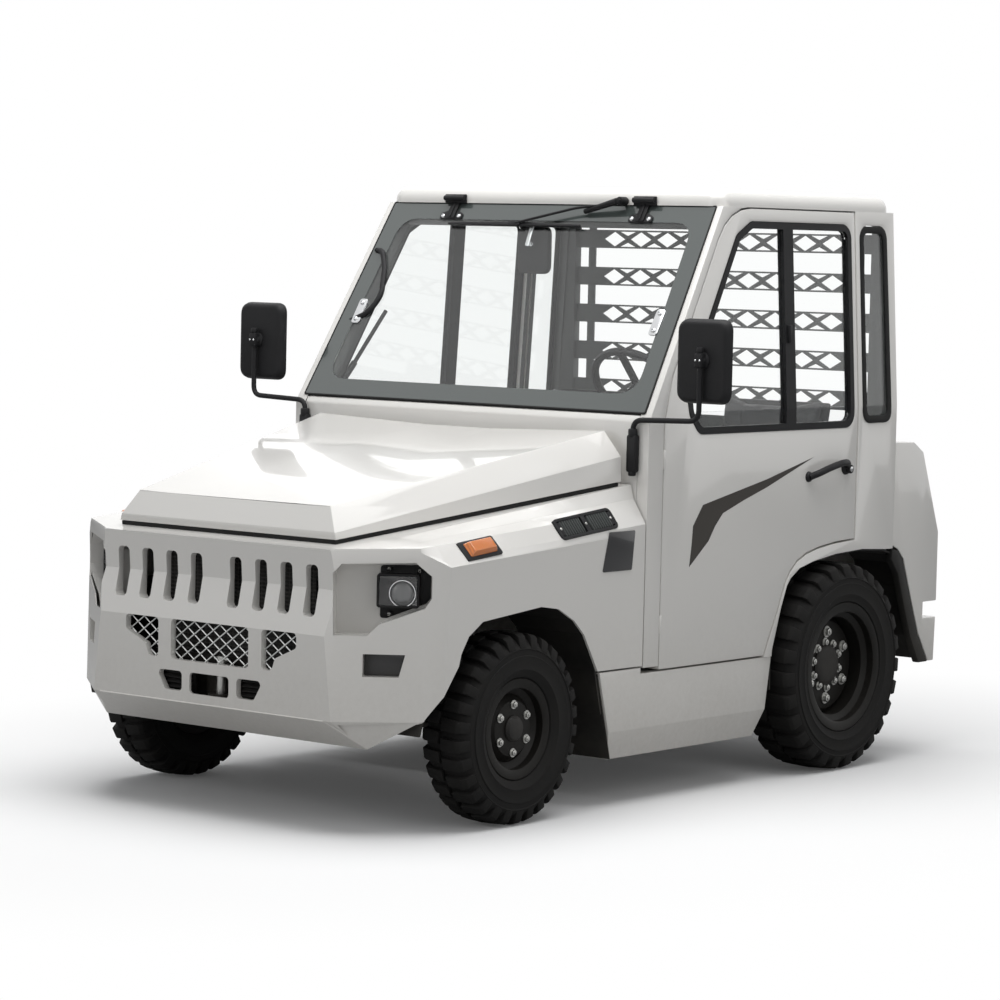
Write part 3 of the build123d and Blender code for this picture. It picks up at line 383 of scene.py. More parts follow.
@dataclass(frozen=True)
class Metal:
    """Bare, plated or cast metal."""

    name: str
    colour: tuple[float, float, float]
    rough: float = 0.28
    texture: float = 0.0
    stain: float = 0.2
    metallic: float = 1.0

    def make(self) -> bpy.types.Material:
        """The material."""
        g = Graph(self.name)
        broad = g.noise(14.0, 5.0, 0.65)
        fine = g.noise(500.0, 3.0, 0.6)
        marks = (broad * 2.2 - 0.9).clamp() * self.stain
        return g.surface(
            Base_Color=g.mix(marks, self.colour, tuple(c * 0.4 for c in self.colour)),
            Roughness=(self.rough + marks * 0.6 + (fine - 0.5) * 0.12).clamp(), Metallic=self.metallic,
            Normal=g.bump(fine * 0.5 + broad * 0.5, 0.0001 + self.texture),
        )


@dataclass(frozen=True)
class Pane:
    """Clear or tinted glass that lets lamps through."""

    name: str
    tint: tuple[float, float, float] = (0.972, 0.985, 0.980)
    rough: float = 0.01

    def make(self) -> bpy.types.Material:
        """The material."""
        g = Graph(self.name)
        smear = g.noise(7.0, 4.0, 0.6)
        glass = g.principled(
            Base_Color=self.tint, Roughness=(self.rough + (smear - 0.4).clamp() * 0.02).clamp(), IOR=1.45,
            Transmission_Weight=1.0,
        )
        clear = g.node("ShaderNodeBsdfTransparent", values={"Color": (*self.tint, 1.0)})
        shadow = g.node("ShaderNodeLightPath", out="Is Shadow Ray")
        g.shader(g.node("ShaderNodeMixShader", values={0: shadow, 1: glass, 2: clear}))
        return g.material


@dataclass(frozen=True)
class Lens:
    """Moulded lamp lens with fine vertical ribs inside, its rib troughs and pits darkened as painted shade.
    """

    name: str
    colour: tuple[float, float, float]

    def make(self) -> bpy.types.Material:
        """The material."""
        g = Graph(self.name)
        ribs = (g.axis("Y") * 900.0).sine() * 0.5 + 0.5
        pits = g.cells(420.0)
        # Painted shade: the rib troughs and the pits take a darker tone of the lens colour.
        groove_shade = tuple(c * 0.55 for c in self.colour)
        return g.surface(
            Base_Color=g.mix((ribs * 0.6 + pits * 0.5).clamp(), groove_shade, self.colour), Roughness=0.12,
            Coat_Weight=1.0, Coat_Roughness=0.04, Subsurface_Weight=0.25,
            Subsurface_Radius=(0.02, 0.006, 0.002), Normal=g.bump(ribs, 0.0004),
        )


@dataclass(frozen=True)
class Vinyl:
    """Seat vinyl with a leather-like grain."""

    name: str
    colour: tuple[float, float, float]

    def make(self) -> bpy.types.Material:
        """The material."""
        g = Graph(self.name)
        cells = g.cells(520.0)
        broad = g.noise(12.0, 4.0, 0.6)
        worn = (broad * 1.8 - 0.6).clamp()
        return g.surface(
            Base_Color=g.mix(worn, self.colour, tuple(c * 1.7 + 0.004 for c in self.colour)),
            Roughness=(0.42 + worn * 0.16 + cells * 0.1).clamp(),
            Normal=g.bump(cells, 0.0004, under=g.bump(broad, 0.002)),
        )


@dataclass(frozen=True)
class Fins:
    """Radiator core: dark grey fin and tube lines, with painted shade in the near-black gaps between them."""

    name: str = "radiator_fins"

    def make(self) -> bpy.types.Material:
        """The material."""
        g = Graph(self.name)
        rows = ((g.axis("Z") * 520.0).sine() * 0.5 + 0.5) ** 2.0
        tubes = ((g.axis("X") * 330.0).sine() * 0.5 + 0.5) ** 4.0
        grime = g.noise(18.0, 4.0, 0.6)
        # Painted shade: near-black between the fin rows and tubes, dark grey on their lines.
        colour = g.mix((rows * 0.7 + tubes * 0.4).clamp(), (0.008, 0.008, 0.008), (0.075, 0.073, 0.07))
        return g.surface(
            Base_Color=g.mix((grime * 1.4 - 0.5).clamp(), colour, (0.05, 0.045, 0.038)), Roughness=0.55,
            Metallic=0.4, Normal=g.bump(rows + tubes, 0.002),
        )


@dataclass(frozen=True)
class StageFloor:
    """Pale studio floor that shows white to the camera and keeps the shadow."""

    name: str = "studio_floor"

    def make(self) -> bpy.types.Material:
        """The material."""
        g = Graph(self.name)
        x, y = g.axis("X"), g.axis("Y")
        wide = x * 1.5
        away = (wide * wide + y * y) ** 0.5
        far = away.step(1.5, 3.6)
        seen = g.node("ShaderNodeLightPath", out="Is Camera Ray")
        shine = g.node("ShaderNodeLightPath", out="Is Transmission Ray")
        lit = g.principled(
            Base_Color=g.mix(seen, (0.48, 0.48, 0.48), (0.95, 0.95, 0.95)), Roughness=0.9,
            Specular_IOR_Level=0.0,
        )
        white = g.node("ShaderNodeEmission", values={"Color": (1, 1, 1, 1), "Strength": 1.0})
        share = (seen + shine).clamp() * (far * 0.96 + 0.04)
        g.shader(g.node("ShaderNodeMixShader", values={0: share, 1: lit, 2: white}))
        return g.material


class Finish(Enum):
    """The finishes of the tug's surfaces, each made once."""

    BODY = Paint("body_white", (0.78, 0.765, 0.735))
    CAB_INNER = Paint("cab_inner_grey", (0.075, 0.080, 0.078), rough=0.5, coat=0.2, dust=0.15)
    FRAME = Paint("frame_black", (0.008, 0.008, 0.008), rough=0.5, coat=0.0, dust=0.15, shine=0.2)
    WHEEL = Paint(
        "wheel_black", (0.004, 0.004, 0.004), rough=0.42, coat=0.0, dust=0.04, dust_top=1.1, shine=0.16
    )
    GUARD = Paint("guard_grey", (0.075, 0.082, 0.08), rough=0.5, coat=0.1, dust=0.2)
    PLASTIC = Moulding("black_plastic", (0.010, 0.010, 0.011), 0.5)
    TRIM = Moulding("black_trim", (0.009, 0.009, 0.010), 0.45, grain=1400.0, depth=0.0001, dust=0.15)
    LINER = Moulding("liner_plastic", (0.010, 0.010, 0.010), 0.6, grain=700.0, dust=0.3)
    SEAL = Moulding("seal_rubber", (0.008, 0.008, 0.008), 0.6, grain=1600.0, depth=0.0001, dust=0.15)
    TYRE = TyreRubber()
    CAST = Metal("cast_iron", (0.10, 0.10, 0.10), 0.55, texture=0.0008, stain=0.6, metallic=0.7)
    CHROME = Metal("plated_steel", (0.68, 0.69, 0.70), 0.2, stain=0.12)
    ZINC = Metal("zinc_bolt", (0.52, 0.52, 0.50), 0.34, stain=0.5)
    WIRE = Metal("galvanised_wire", (0.66, 0.67, 0.66), 0.4, stain=0.3)
    MIRROR = Metal("mirror_face", (0.85, 0.87, 0.88), 0.02, stain=0.02)
    GLASS = Pane("safety_glass")
    LAMP_GLASS = Pane("lamp_glass", (0.97, 0.97, 0.97), 0.03)
    AMBER = Lens("amber_lens", (0.85, 0.22, 0.008))
    RED = Lens("red_lens", (0.42, 0.015, 0.012))
    VINYL = Vinyl("seat_vinyl", (0.022, 0.023, 0.025))
    FINS = Fins()
    PROJECTOR = Paint("projector_glass", (0.045, 0.048, 0.050), rough=0.05, coat=1.0, dust=0.0)
    BORDER = Paint("screen_border", (0.070, 0.082, 0.079), rough=0.12, coat=1.0, dust=0.0)
    # Dark brown paint for the painted shadow of the body side's flare on the doors.
    STRIPE = Paint("stripe_brown", (0.030, 0.024, 0.018), rough=0.3, coat=0.6, dust=0.1)
    PLATE = Paint("blank_plate", (0.02, 0.02, 0.022), rough=0.35, coat=0.5, dust=0.1)
    CLEAR = Lens("clear_lens", (0.75, 0.75, 0.75))
    MAT = Moulding("floor_mat", (0.02, 0.02, 0.021), 0.7, grain=500.0, depth=0.0006, dust=0.8)
    FLOOR = StageFloor()


class Library:
    """Makes each finish's material when it is first asked for."""

    def __init__(self) -> None:
        """Starts empty."""
        self.made: dict[Finish, bpy.types.Material] = {}

    def get(self, finish: Finish) -> bpy.types.Material:
        """The finish's material."""
        if finish not in self.made:
            self.made[finish] = finish.value.make()
        return self.made[finish]


# Modelling helpers


class Bench:
    """Makes, shapes and finishes pieces with Blender's own operators."""

    def __init__(self, frame: dict[str, Any], library: Library) -> None:
        """Keeps the frame and the finishes at hand.

        Args:
            library: The finishes.
        """
        self.frame = frame
        self.library = library
        self.slots = {s["node"]: s["material_slot"] for s in frame["record"]["subparts"]}
        self.count = 0

    def clear(self) -> None:
        """Leaves nothing selected, in object mode."""
        if bpy.context.object and bpy.context.object.mode != "OBJECT":
            bpy.ops.object.mode_set(mode="OBJECT")
        bpy.ops.object.select_all(action="DESELECT")

    def pick(self, *objects: bpy.types.Object) -> None:
        """Selects only these objects and makes the first one active."""
        self.clear()
        for item in objects:
            item.select_set(True)
        bpy.context.view_layer.objects.active = objects[0]

    def settle(self, piece: bpy.types.Object) -> None:
        """Puts a piece's place, turn and size into its mesh."""
        self.pick(piece)
        bpy.ops.object.transform_apply(location=True, rotation=True, scale=True)

    def round_edges(self, piece: bpy.types.Object, width: float, segments: int = 2,
        angle: float = 30.0) -> None:
        """Bevels a piece's sharp edges.

        Args:
            piece: The piece.
            width: Width of the bevel.
            segments: Its segments.
            angle: Edges sharper than this, in degrees, are bevelled.
        """
        self.pick(piece)
        bevel = piece.modifiers.new("soft_edges", "BEVEL")
        bevel.width, bevel.segments = width, segments
        bevel.limit_method, bevel.angle_limit = "ANGLE", math.radians(angle)
        bevel.use_clamp_overlap = True
        bpy.ops.object.modifier_apply(modifier=bevel.name)

    def smooth(self, piece: bpy.types.Object, angle: float = 35.0) -> None:
        """Smooth shading across all but sharp edges."""
        self.pick(piece)
        bpy.ops.object.shade_smooth_by_angle(angle=math.radians(angle))

    def outward(self, piece: bpy.types.Object, merge: float = 1e-5) -> None:
        """Merges doubles and turns every face outward."""
        self.pick(piece)
        bpy.ops.object.mode_set(mode="EDIT")
        bpy.ops.mesh.select_all(action="SELECT")
        bpy.ops.mesh.remove_doubles(threshold=merge)
        bpy.ops.mesh.normals_make_consistent(inside=False)
        bpy.ops.object.mode_set(mode="OBJECT")

    def block(self, centre: Point, size: Point, soft: float = 0.0, turn: Point = (0, 0, 0),
              segments: int = 2) -> bpy.types.Object:
        """A box with softened edges.

        Args:
            centre: Its centre.
            size: Its three sizes.
            soft: Width of its edge bevel.
            turn: Its turn about each axis, in radians.
            segments: Segments of the bevel.

        Returns:
            The new object.
        """
        self.clear()
        bpy.ops.mesh.primitive_cube_add(size=1.0, location=tuple(centre), rotation=tuple(turn))
        made = bpy.context.object
        made.scale = tuple(size)
        self.settle(made)
        if soft:
            self.round_edges(made, soft, segments)
        return made

    def rod(self, start: Point, end: Point, radius: float, soft: float = 0.0, sides: int = 24,
            top: float | None = None) -> bpy.types.Object:
        """A round bar between two points.

        Args:
            start: Centre of its first end.
            end: Centre of its last end.
            radius: Its radius.
            soft: Width of the bevel at its ends.
            sides: Its sides.
            top: Radius of the last end, if it tapers.

        Returns:
            The new object.
        """
        self.clear()
        a, b = Vector(start), Vector(end)
        turn = (b - a).to_track_quat("Z", "Y").to_euler()
        bpy.ops.mesh.primitive_cone_add(
            vertices=sides, radius1=radius, radius2=radius if top is None else top, depth=(b - a).length,
            location=tuple((a + b) / 2), rotation=tuple(turn),
        )
        made = bpy.context.object
        self.settle(made)
        if soft:
            self.round_edges(made, soft, 2, 50.0)
        return made

    def sheet(self, points: Sequence[Point], thickness: Point, soft: float = 0.0,
              segments: int = 2) -> bpy.types.Object:
        """A flat outline given a thickness.

        Args:
            points: Corners of the outline, in order.
            thickness: The step from the outline to its far face.
            soft: Width of the edge bevel.
            segments: Segments of the bevel.

        Returns:
            The new object.
        """
        self.clear()
        bpy.ops.mesh.primitive_circle_add(vertices=len(points), fill_type="NGON")
        made = bpy.context.object
        for vertex, point in zip(made.data.vertices, points):
            vertex.co = point
        bpy.ops.object.mode_set(mode="EDIT")
        bpy.ops.mesh.select_all(action="SELECT")
        bpy.ops.mesh.extrude_region_move(TRANSFORM_OT_translate={"value": tuple(thickness)})
        bpy.ops.mesh.select_all(action="SELECT")
        bpy.ops.mesh.normals_make_consistent(inside=False)
        bpy.ops.object.mode_set(mode="OBJECT")
        if soft:
            self.round_edges(made, soft, segments)
        return made

    def lathe(self, profile: Sequence[Point], centre: Point, steps: int = 96) -> bpy.types.Object:
        """A profile spun about a line along X.

        Args:
            profile: Points of (along X, radius), a closed loop.
            centre: A point on the axle, from which the profile is measured.
            steps: Steps of the spin.

        Returns:
            The new object.
        """
        self.clear()
        bpy.ops.mesh.primitive_circle_add(vertices=len(profile), fill_type="NOTHING")
        made = bpy.context.object
        c = Vector(centre)
        for vertex, (x, r) in zip(made.data.vertices, profile):
            vertex.co = c + Vector((x, 0, r))
        bpy.ops.object.mode_set(mode="EDIT")
        bpy.ops.mesh.select_all(action="SELECT")
        bpy.ops.mesh.spin(steps=steps, angle=2 * math.pi, center=tuple(c), axis=(1, 0, 0))
        bpy.ops.mesh.select_all(action="SELECT")
        bpy.ops.mesh.remove_doubles(threshold=2e-5)
        bpy.ops.mesh.normals_make_consistent(inside=False)
        bpy.ops.object.mode_set(mode="OBJECT")
        return made

    def pipe(self, points: Sequence[Point], radius: float, bend: float = 0.02,
        sides: int = 4) -> bpy.types.Object:
        """A tube along a bent line with rounded corners.

        Args:
            points: Corners of the line.
            radius: The tube's radius.
            bend: Length taken off each side of a corner for its bend.
            sides: Bevel resolution of the tube.

        Returns:
            The new object.
        """
        path: list[Vector] = []
        corners = [Vector(p) for p in points]
        for index, corner in enumerate(corners):
            if index in (0, len(corners) - 1):
                path.append(corner)
                continue
            before = (corners[index - 1] - corner).normalized() * bend
            after = (corners[index + 1] - corner).normalized() * bend
            for step in range(7):
                t = step / 6
                path.append(corner + before * (1 - t) ** 2 + after * t**2)
        self.clear()
        bpy.ops.curve.primitive_nurbs_path_add()
        made = bpy.context.object
        made.data.splines.clear()
        line = made.data.splines.new("POLY")
        line.points.add(len(path) - 1)
        for target, place in zip(line.points, path):
            target.co = (*place, 1.0)
        made.data.bevel_depth = radius
        made.data.bevel_resolution = sides
        made.data.use_fill_caps = True
        self.pick(made)
        bpy.ops.object.convert(target="MESH")
        made = bpy.context.object
        self.outward(made)
        return made

    def hex_bolt(self, place: Point, out: Point, across: float, height: float, washer: float = 0.0,
                 sides: int = 6) -> bpy.types.Object:
        """A bolt head with a washer under it.

        Args:
            place: Where its seat's centre is.
            out: The direction it points.
            across: Distance across its corners.
            height: Height of its head.
            washer: Radius of its washer, or 0 for none.
            sides: Sides of the head.

        Returns:
            The new object.
        """
        p, n = Vector(place), Vector(out).normalized()
        head = self.rod(p, p + n * height, across / 2, height * 0.12, sides)
        if washer:
            self.join(head, self.rod(p, p + n * height * 0.22, washer, 0.0, 20))
        return head

    def join(self, *objects: bpy.types.Object) -> bpy.types.Object:
        """Joins objects into the first one."""
        self.pick(*objects)
        if len(objects) > 1:
            bpy.ops.object.join()
        return bpy.context.object

    def plate(self, plane: "Plane", points: Sequence[Point], low: float, high: float, soft: float = 0.0,
              segments: int = 2) -> bpy.types.Object:
        """A flat plate on a plane, between two heights.

        Args:
            plane: The plane it lies on.
            points: Its outline on the plane.
            low: Height of its underside.
            high: Height of its face.
            soft: Width of the edge bevel.
            segments: Segments of the bevel.

        Returns:
            The new object.
        """
        return self.sheet(plane.outline(points, low), plane.out * (high - low), soft, segments)

    def ring(self, plane: "Plane", outer: Sequence[Point], inner: Sequence[Point], low: float, high: float,
             soft: float = 0.0) -> bpy.types.Object:
        """A frame between two outlines of as many points each.

        Args:
            plane: The plane it lies on.
            outer: The outer outline.
            inner: The inner outline.
            low: Height of its underside.
            high: Height of its face.
            soft: Width of the edge bevel.

        Returns:
            The new object.
        """
        loops = []
        for points in (outer, inner):
            self.clear()
            bpy.ops.mesh.primitive_circle_add(vertices=len(points), fill_type="NOTHING")
            loop = bpy.context.object
            for vertex, point in zip(loop.data.vertices, plane.outline(points, low)):
                vertex.co = point
            loops.append(loop)
        made = self.join(*loops)
        bpy.ops.object.mode_set(mode="EDIT")
        bpy.ops.mesh.select_all(action="SELECT")
        bpy.ops.mesh.bridge_edge_loops()
        bpy.ops.mesh.select_all(action="SELECT")
        bpy.ops.mesh.extrude_region_move(TRANSFORM_OT_translate={"value": tuple(plane.out * (high - low))})
        bpy.ops.mesh.select_all(action="SELECT")
        bpy.ops.mesh.normals_make_consistent(inside=False)
        bpy.ops.object.mode_set(mode="OBJECT")
        if soft:
            self.round_edges(made, soft, 2, 50.0)
        return made

    def spun(self, profile: Sequence[Point], base: Point, out: Point, steps: int = 48) -> bpy.types.Object:
        """A profile of (height, radius) points spun about any line.

        Args:
            profile: A closed loop of (height, radius).
            base: The foot of the line.
            out: The line's direction.
            steps: Steps of the spin.

        Returns:
            The new object.
        """
        made = self.lathe(profile, (0, 0, 0), steps)
        turn = Vector((1, 0, 0)).rotation_difference(Vector(out).normalized()).to_matrix().to_4x4()
        made.data.transform(Matrix.Translation(Vector(base)) @ turn)
        return made

    def dome_bolt(self, place: Point, out: Point, radius: float) -> bpy.types.Object:
        """A domed screw head with a socket in its top."""
        r = radius
        profile = [
            (0, 0.0002), (0, r), (0.25 * r, r), (0.55 * r, 0.8 * r), (0.72 * r, 0.5 * r),
            (0.75 * r, 0.42 * r), (0.4 * r, 0.40 * r), (0.4 * r, 0.0002),
        ]
        return self.spun(profile, place, out, 20)

    def pair(self, piece: bpy.types.Object) -> bpy.types.Object:
        """A left piece joined with its copy on the right."""
        return self.join(piece, self.mirrored(piece))

    def sides(self, piece: bpy.types.Object, name: str, bodies: tuple[str, str], finish: "Finish", slot: str,
              replaces: Sequence[str] = (), angle: float = 35.0) -> None:
        """Places a left piece and its mirrored copy on two bodies.

        Args:
            piece: The left piece.
            name: The name without its side.
            bodies: The left and the right body.
            finish: The finish.
            slot: The material slot.
            replaces: CAD nodes it stands for, without their side.
            angle: Smooth shading's angle.
        """
        other = self.mirrored(piece)
        for item, side, body in ((piece, Side.LEFT, bodies[0]), (other, Side.RIGHT, bodies[1])):
            swaps = [f"{node}_{side.word}" for node in replaces]
            self.place(item, f"{name}_{side.word}", body, finish, slot, swaps, angle)

    def copies(self, pattern: bpy.types.Object, moves: Iterable[Matrix]) -> bpy.types.Object:
        """One object of a pattern's mesh at each of several places.

        Args:
            pattern: The shape, which is used up.
            moves: The move of each copy.

        Returns:
            The joined copies.
        """
        made = []
        for move in moves:
            item = pattern.copy()
            item.data = pattern.data.copy()
            item.data.transform(move)
            if move.determinant() < 0:
                item.data.flip_normals()
            bpy.context.scene.collection.objects.link(item)
            made.append(item)
        bpy.data.objects.remove(pattern)
        return self.join(*made)

    def mirrored(self, piece: bpy.types.Object) -> bpy.types.Object:
        """A copy on the vehicle's other side."""
        other = piece.copy()
        other.data = piece.data.copy()
        other.data.transform(Matrix.Diagonal((-1, 1, 1, 1)))
        other.data.flip_normals()
        bpy.context.scene.collection.objects.link(other)
        return other

    def cut(self, piece: bpy.types.Object, tool: bpy.types.Object) -> None:
        """Takes a tool's shape out of a piece."""
        self.pick(piece)
        boolean = piece.modifiers.new("cut", "BOOLEAN")
        boolean.object, boolean.operation, boolean.solver = tool, "DIFFERENCE", "EXACT"
        bpy.ops.object.modifier_apply(modifier=boolean.name)
        bpy.data.objects.remove(tool)

    def skin(self, node: str, soft: float, segments: int = 3, angle: float = 12.0) -> bpy.types.Object:
        """A copy of a CAD node with its faces joined up and its edges softened.

        Args:
            node: The CAD node.
            soft: Width of the edge bevel.
            segments: Segments of the bevel.
            angle: Edges sharper than this are softened.

        Returns:
            The copy.
        """
        source = self.frame["nodes"][node]
        made = source.copy()
        made.data = source.data.copy()
        made.parent = None
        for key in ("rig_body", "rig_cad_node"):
            if key in made:
                del made[key]
        bpy.context.scene.collection.objects.link(made)
        self.pick(made)
        bpy.ops.mesh.customdata_custom_splitnormals_clear()
        bpy.ops.object.mode_set(mode="EDIT")
        bpy.ops.mesh.select_all(action="SELECT")
        bpy.ops.mesh.remove_doubles(threshold=2e-5)
        bpy.ops.mesh.dissolve_limited(angle_limit=math.radians(0.6))
        bpy.ops.object.mode_set(mode="OBJECT")
        if soft:
            self.round_edges(made, soft, segments, angle)
        made.data.materials.clear()
        return made

    def place(self, piece: bpy.types.Object, name: str, body: str, finish: Finish, slot: str,
              replaces: Sequence[str] = (), angle: float | None = 35.0) -> bpy.types.Object:
        """Names a piece, gives it its finish and sets it on its body.

        Args:
            piece: The finished shape.
            name: The piece's name.
            body: The CAD body it rides on.
            finish: Its finish.
            slot: The record's material slot it belongs to.
            replaces: CAD nodes it stands for.
            angle: Smooth shading's angle, or None to leave the shading alone.

        Returns:
            The piece.
        """
        piece.name = piece.data.name = name
        if angle is not None:
            self.smooth(piece, angle)
        if not piece.data.materials:
            piece.data.materials.append(self.library.get(finish))
        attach(piece, body)
        if replaces:
            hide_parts(*replaces)
        self.count += 1
        LOG.info("%s on %s", name, body)
        return piece

    def dress(self, node: str, finish: Finish) -> None:
        """Gives a CAD node a finish."""
        target = self.frame["nodes"][node]
        target.data.materials.clear()
        target.data.materials.append(self.library.get(finish))


@dataclass
class Plane:
    """A plane in space on which a piece is laid out."""

    origin: Vector
    along: Vector
    up: Vector

    @property
    def out(self) -> Vector:
        """The plane's outward direction."""
        return self.along.cross(self.up).normalized()

    def at(self, u: float, v: float, height: float = 0.0) -> Vector:
        """A point at u along, v up and a height off the plane."""
        return self.origin + self.along * u + self.up * v + self.out * height

    def outline(self, points: Sequence[Point], height: float = 0.0) -> list[Vector]:
        """Points of an outline drawn on the plane."""
        return [self.at(u, v, height) for u, v in points]

    def turned(self) -> Matrix:
        """The rotation from the world's axes to the plane's."""
        return Matrix((self.along, self.up, self.out)).transposed().to_4x4()


def rounded(points: Sequence[Point], radius: float, steps: int = 5) -> list[tuple[float, float]]:
    """An outline with its corners rounded.

    Args:
        points: Corners of the outline, in order.
        radius: Radius at each corner, held to what its sides allow.
        steps: Steps of each corner.

    Returns:
        The rounded outline.
    """
    made = []
    count = len(points)
    for index in range(count):
        corner = Vector(points[index])
        before = Vector(points[index - 1]) - corner
        after = Vector(points[(index + 1) % count]) - corner
        half = before.angle(after) / 2
        cut = min(radius / math.tan(half), before.length * 0.48, after.length * 0.48)
        a, b = before.normalized() * cut, after.normalized() * cut
        for step in range(steps + 1):
            t = step / steps
            made.append(tuple(corner + a * (1 - t) ** 2 + b * t**2))
    return made


def rectangle(width: float, height: float, u: float = 0.0, v: float = 0.0) -> list[tuple[float, float]]:
    """Corners of a rectangle about a centre."""
    return [
        (u - width / 2, v - height / 2), (u + width / 2, v - height / 2), (u + width / 2, v + height / 2),
        (u - width / 2, v + height / 2),
    ]


def clipped(outline: Sequence[Point], start: Point, step: Point) -> list[tuple[float, float]]:
    """Stretches of an endless line that lie inside an outline.

    Args:
        outline: Corners of the outline.
        start: A point of the line.
        step: The line's direction.

    Returns:
        Pairs of distances along the line, in steps.
    """
    cuts = []
    for index, a in enumerate(outline):
        b = outline[(index + 1) % len(outline)]
        edge, gap = (b[0] - a[0], b[1] - a[1]), (a[0] - start[0], a[1] - start[1])
        cross = step[0] * edge[1] - step[1] * edge[0]
        if abs(cross) < 1e-12:
            continue
        share = (gap[0] * step[1] - gap[1] * step[0]) / cross
        if 0 <= share < 1:
            cuts.append((gap[0] * edge[1] - gap[1] * edge[0]) / cross)
    cuts.sort()
    return list(zip(cuts[::2], cuts[1::2]))


def flipped(points: Sequence[Point]) -> list[tuple[float, float]]:
    """The outline mirrored to the right side, in the same turning direction."""
    return [(-u, v) for u, v in reversed(points)]


SCREEN_LEAN = math.atan2(0.408, 0.655)
SCREEN = Plane(
    Vector((0, FRONT_AXLE_Y + 0.616, 1.225)), Vector((1, 0, 0)),
    Vector((0, math.sin(SCREEN_LEAN), math.cos(SCREEN_LEAN))),
)
SCREEN_LENGTH = math.hypot(0.408, 0.655)
FACET_TURN = math.atan2(0.150, 0.219)
FACET = Plane(
    Vector((0.463, FRONT_AXLE_Y - 0.561, 0)), Vector((math.cos(FACET_TURN), math.sin(FACET_TURN), 0)),
    Vector((0, 0, 1)),
)


def shoulder(station: float) -> Plane:
    """The sloped shoulder of the left wing at a station behind the front axle."""
    share = (station + 0.351) / 0.949
    y = FRONT_AXLE_Y + station
    crease = Vector((0.749 - 0.006 * share, y, 0.800 + 0.082 * share))
    brow = Vector((0.690 + 0.004 * share, y, 0.860 + 0.098 * share))
    along = Vector((-0.001, 0.949, 0.090)).normalized()
    out = along.cross(brow - crease).normalized()
    return Plane((crease + brow) / 2, along, out.cross(along))


CAB_SIDE = Plane(Vector((0.743, 0, 1.225)), Vector((0, 1, 0)), Vector((-0.042, 0, 0.709)).normalized())
FLANK = Plane(Vector((0.743, 0, 0)), Vector((0, 1, 0)), Vector((0, 0, 1)))
NOSE = Plane(Vector((0, FRONT_AXLE_Y - 0.580, 0)), Vector((1, 0, 0)), Vector((0, 0, 1)))


# Studio


@dataclass
class Studio:
    """Floor, lamps, world and the camera at the photograph's viewpoint."""

    azimuth: float = 38.95
    pitch: float = 4.14
    roll: float = 1.30
    lens: float = 126.15
    position: tuple[float, float, float] = (7.239, -9.094, 1.736)

    def build(self, library: Library) -> None:
        """Builds the studio.

        Args:
            library: The finishes.
        """
        self.camera()
        self.floor(library)
        self.world()
        self.lamp("top_softbox", (0.5, -0.5, 6.0), (0, 0, 0.6), 5.5, 330)
        self.lamp("left_softbox", (7.0, -1.5, 3.6), (0, 0, 0.9), 4.0, 54)
        self.lamp("front_softbox", (-1.5, -8.0, 3.2), (0, 0, 0.8), 4.0, 60)
        self.lamp("rear_softbox", (-5.0, 6.0, 4.5), (0, 0, 0.9), 4.0, 60)

    def camera(self) -> None:
        """Sets the camera where the photograph was taken."""
        az, p, r = (math.radians(v) for v in (self.azimuth, self.pitch, self.roll))
        forward = Vector((-math.sin(az) * math.cos(p), math.cos(az) * math.cos(p), -math.sin(p)))
        right = Vector((math.cos(az), math.sin(az), 0))
        up = right.cross(forward)
        x = right * math.cos(r) + up * math.sin(r)
        y = up * math.cos(r) - right * math.sin(r)
        bpy.ops.object.camera_add(location=self.position)
        made = bpy.context.object
        made.rotation_euler = Matrix((x, y, -forward)).transposed().to_euler()
        made.data.lens = self.lens
        made.data.sensor_width = 36.0
        made.data.clip_end = 200.0
        bpy.context.scene.camera = made

    def floor(self, library: Library) -> None:
        """Lays the floor."""
        bpy.ops.mesh.primitive_plane_add(size=120.0, location=(0, 0, 0))
        made = bpy.context.object
        made.name = "studio_floor"
        made.data.materials.append(library.get(Finish.FLOOR))
        made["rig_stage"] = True

    def lamp(self, name: str, place: Point, target: Point, size: float, power: float) -> None:
        """Adds a square soft lamp that points at a target."""
        bpy.ops.object.light_add(type="AREA", location=tuple(place))
        made = bpy.context.object
        made.name = name
        made.data.size = size
        made.data.energy = power
        made.rotation_euler = (Vector(target) - Vector(place)).to_track_quat("-Z", "Y").to_euler()

    def world(self) -> None:
        """White to the camera, to gloss and through glass, and a soft fill elsewhere."""
        world = bpy.data.worlds.new("studio")
        bpy.context.scene.world = world
        world.use_nodes = True
        tree = world.node_tree
        tree.nodes.clear()
        path = tree.nodes.new("ShaderNodeLightPath")
        seen = tree.nodes.new("ShaderNodeMath")
        seen.operation = "MAXIMUM"
        tree.links.new(path.outputs["Is Camera Ray"], seen.inputs[0])
        tree.links.new(path.outputs["Is Transmission Ray"], seen.inputs[1])
        gloss = tree.nodes.new("ShaderNodeMath")
        gloss.operation = "MAXIMUM"
        tree.links.new(seen.outputs[0], gloss.inputs[0])
        tree.links.new(path.outputs["Is Glossy Ray"], gloss.inputs[1])
        white = tree.nodes.new("ShaderNodeBackground")
        white.inputs["Color"].default_value = (1, 1, 1, 1)
        fill = tree.nodes.new("ShaderNodeBackground")
        fill.inputs["Color"].default_value = (0.96, 0.98, 1.0, 1)
        fill.inputs["Strength"].default_value = 0.26
        mix = tree.nodes.new("ShaderNodeMixShader")
        out = tree.nodes.new("ShaderNodeOutputWorld")
        tree.links.new(gloss.outputs[0], mix.inputs[0])
        tree.links.new(fill.outputs[0], mix.inputs[1])
        tree.links.new(white.outputs[0], mix.inputs[2])
        tree.links.new(mix.outputs[0], out.inputs["Surface"])


# Wheels


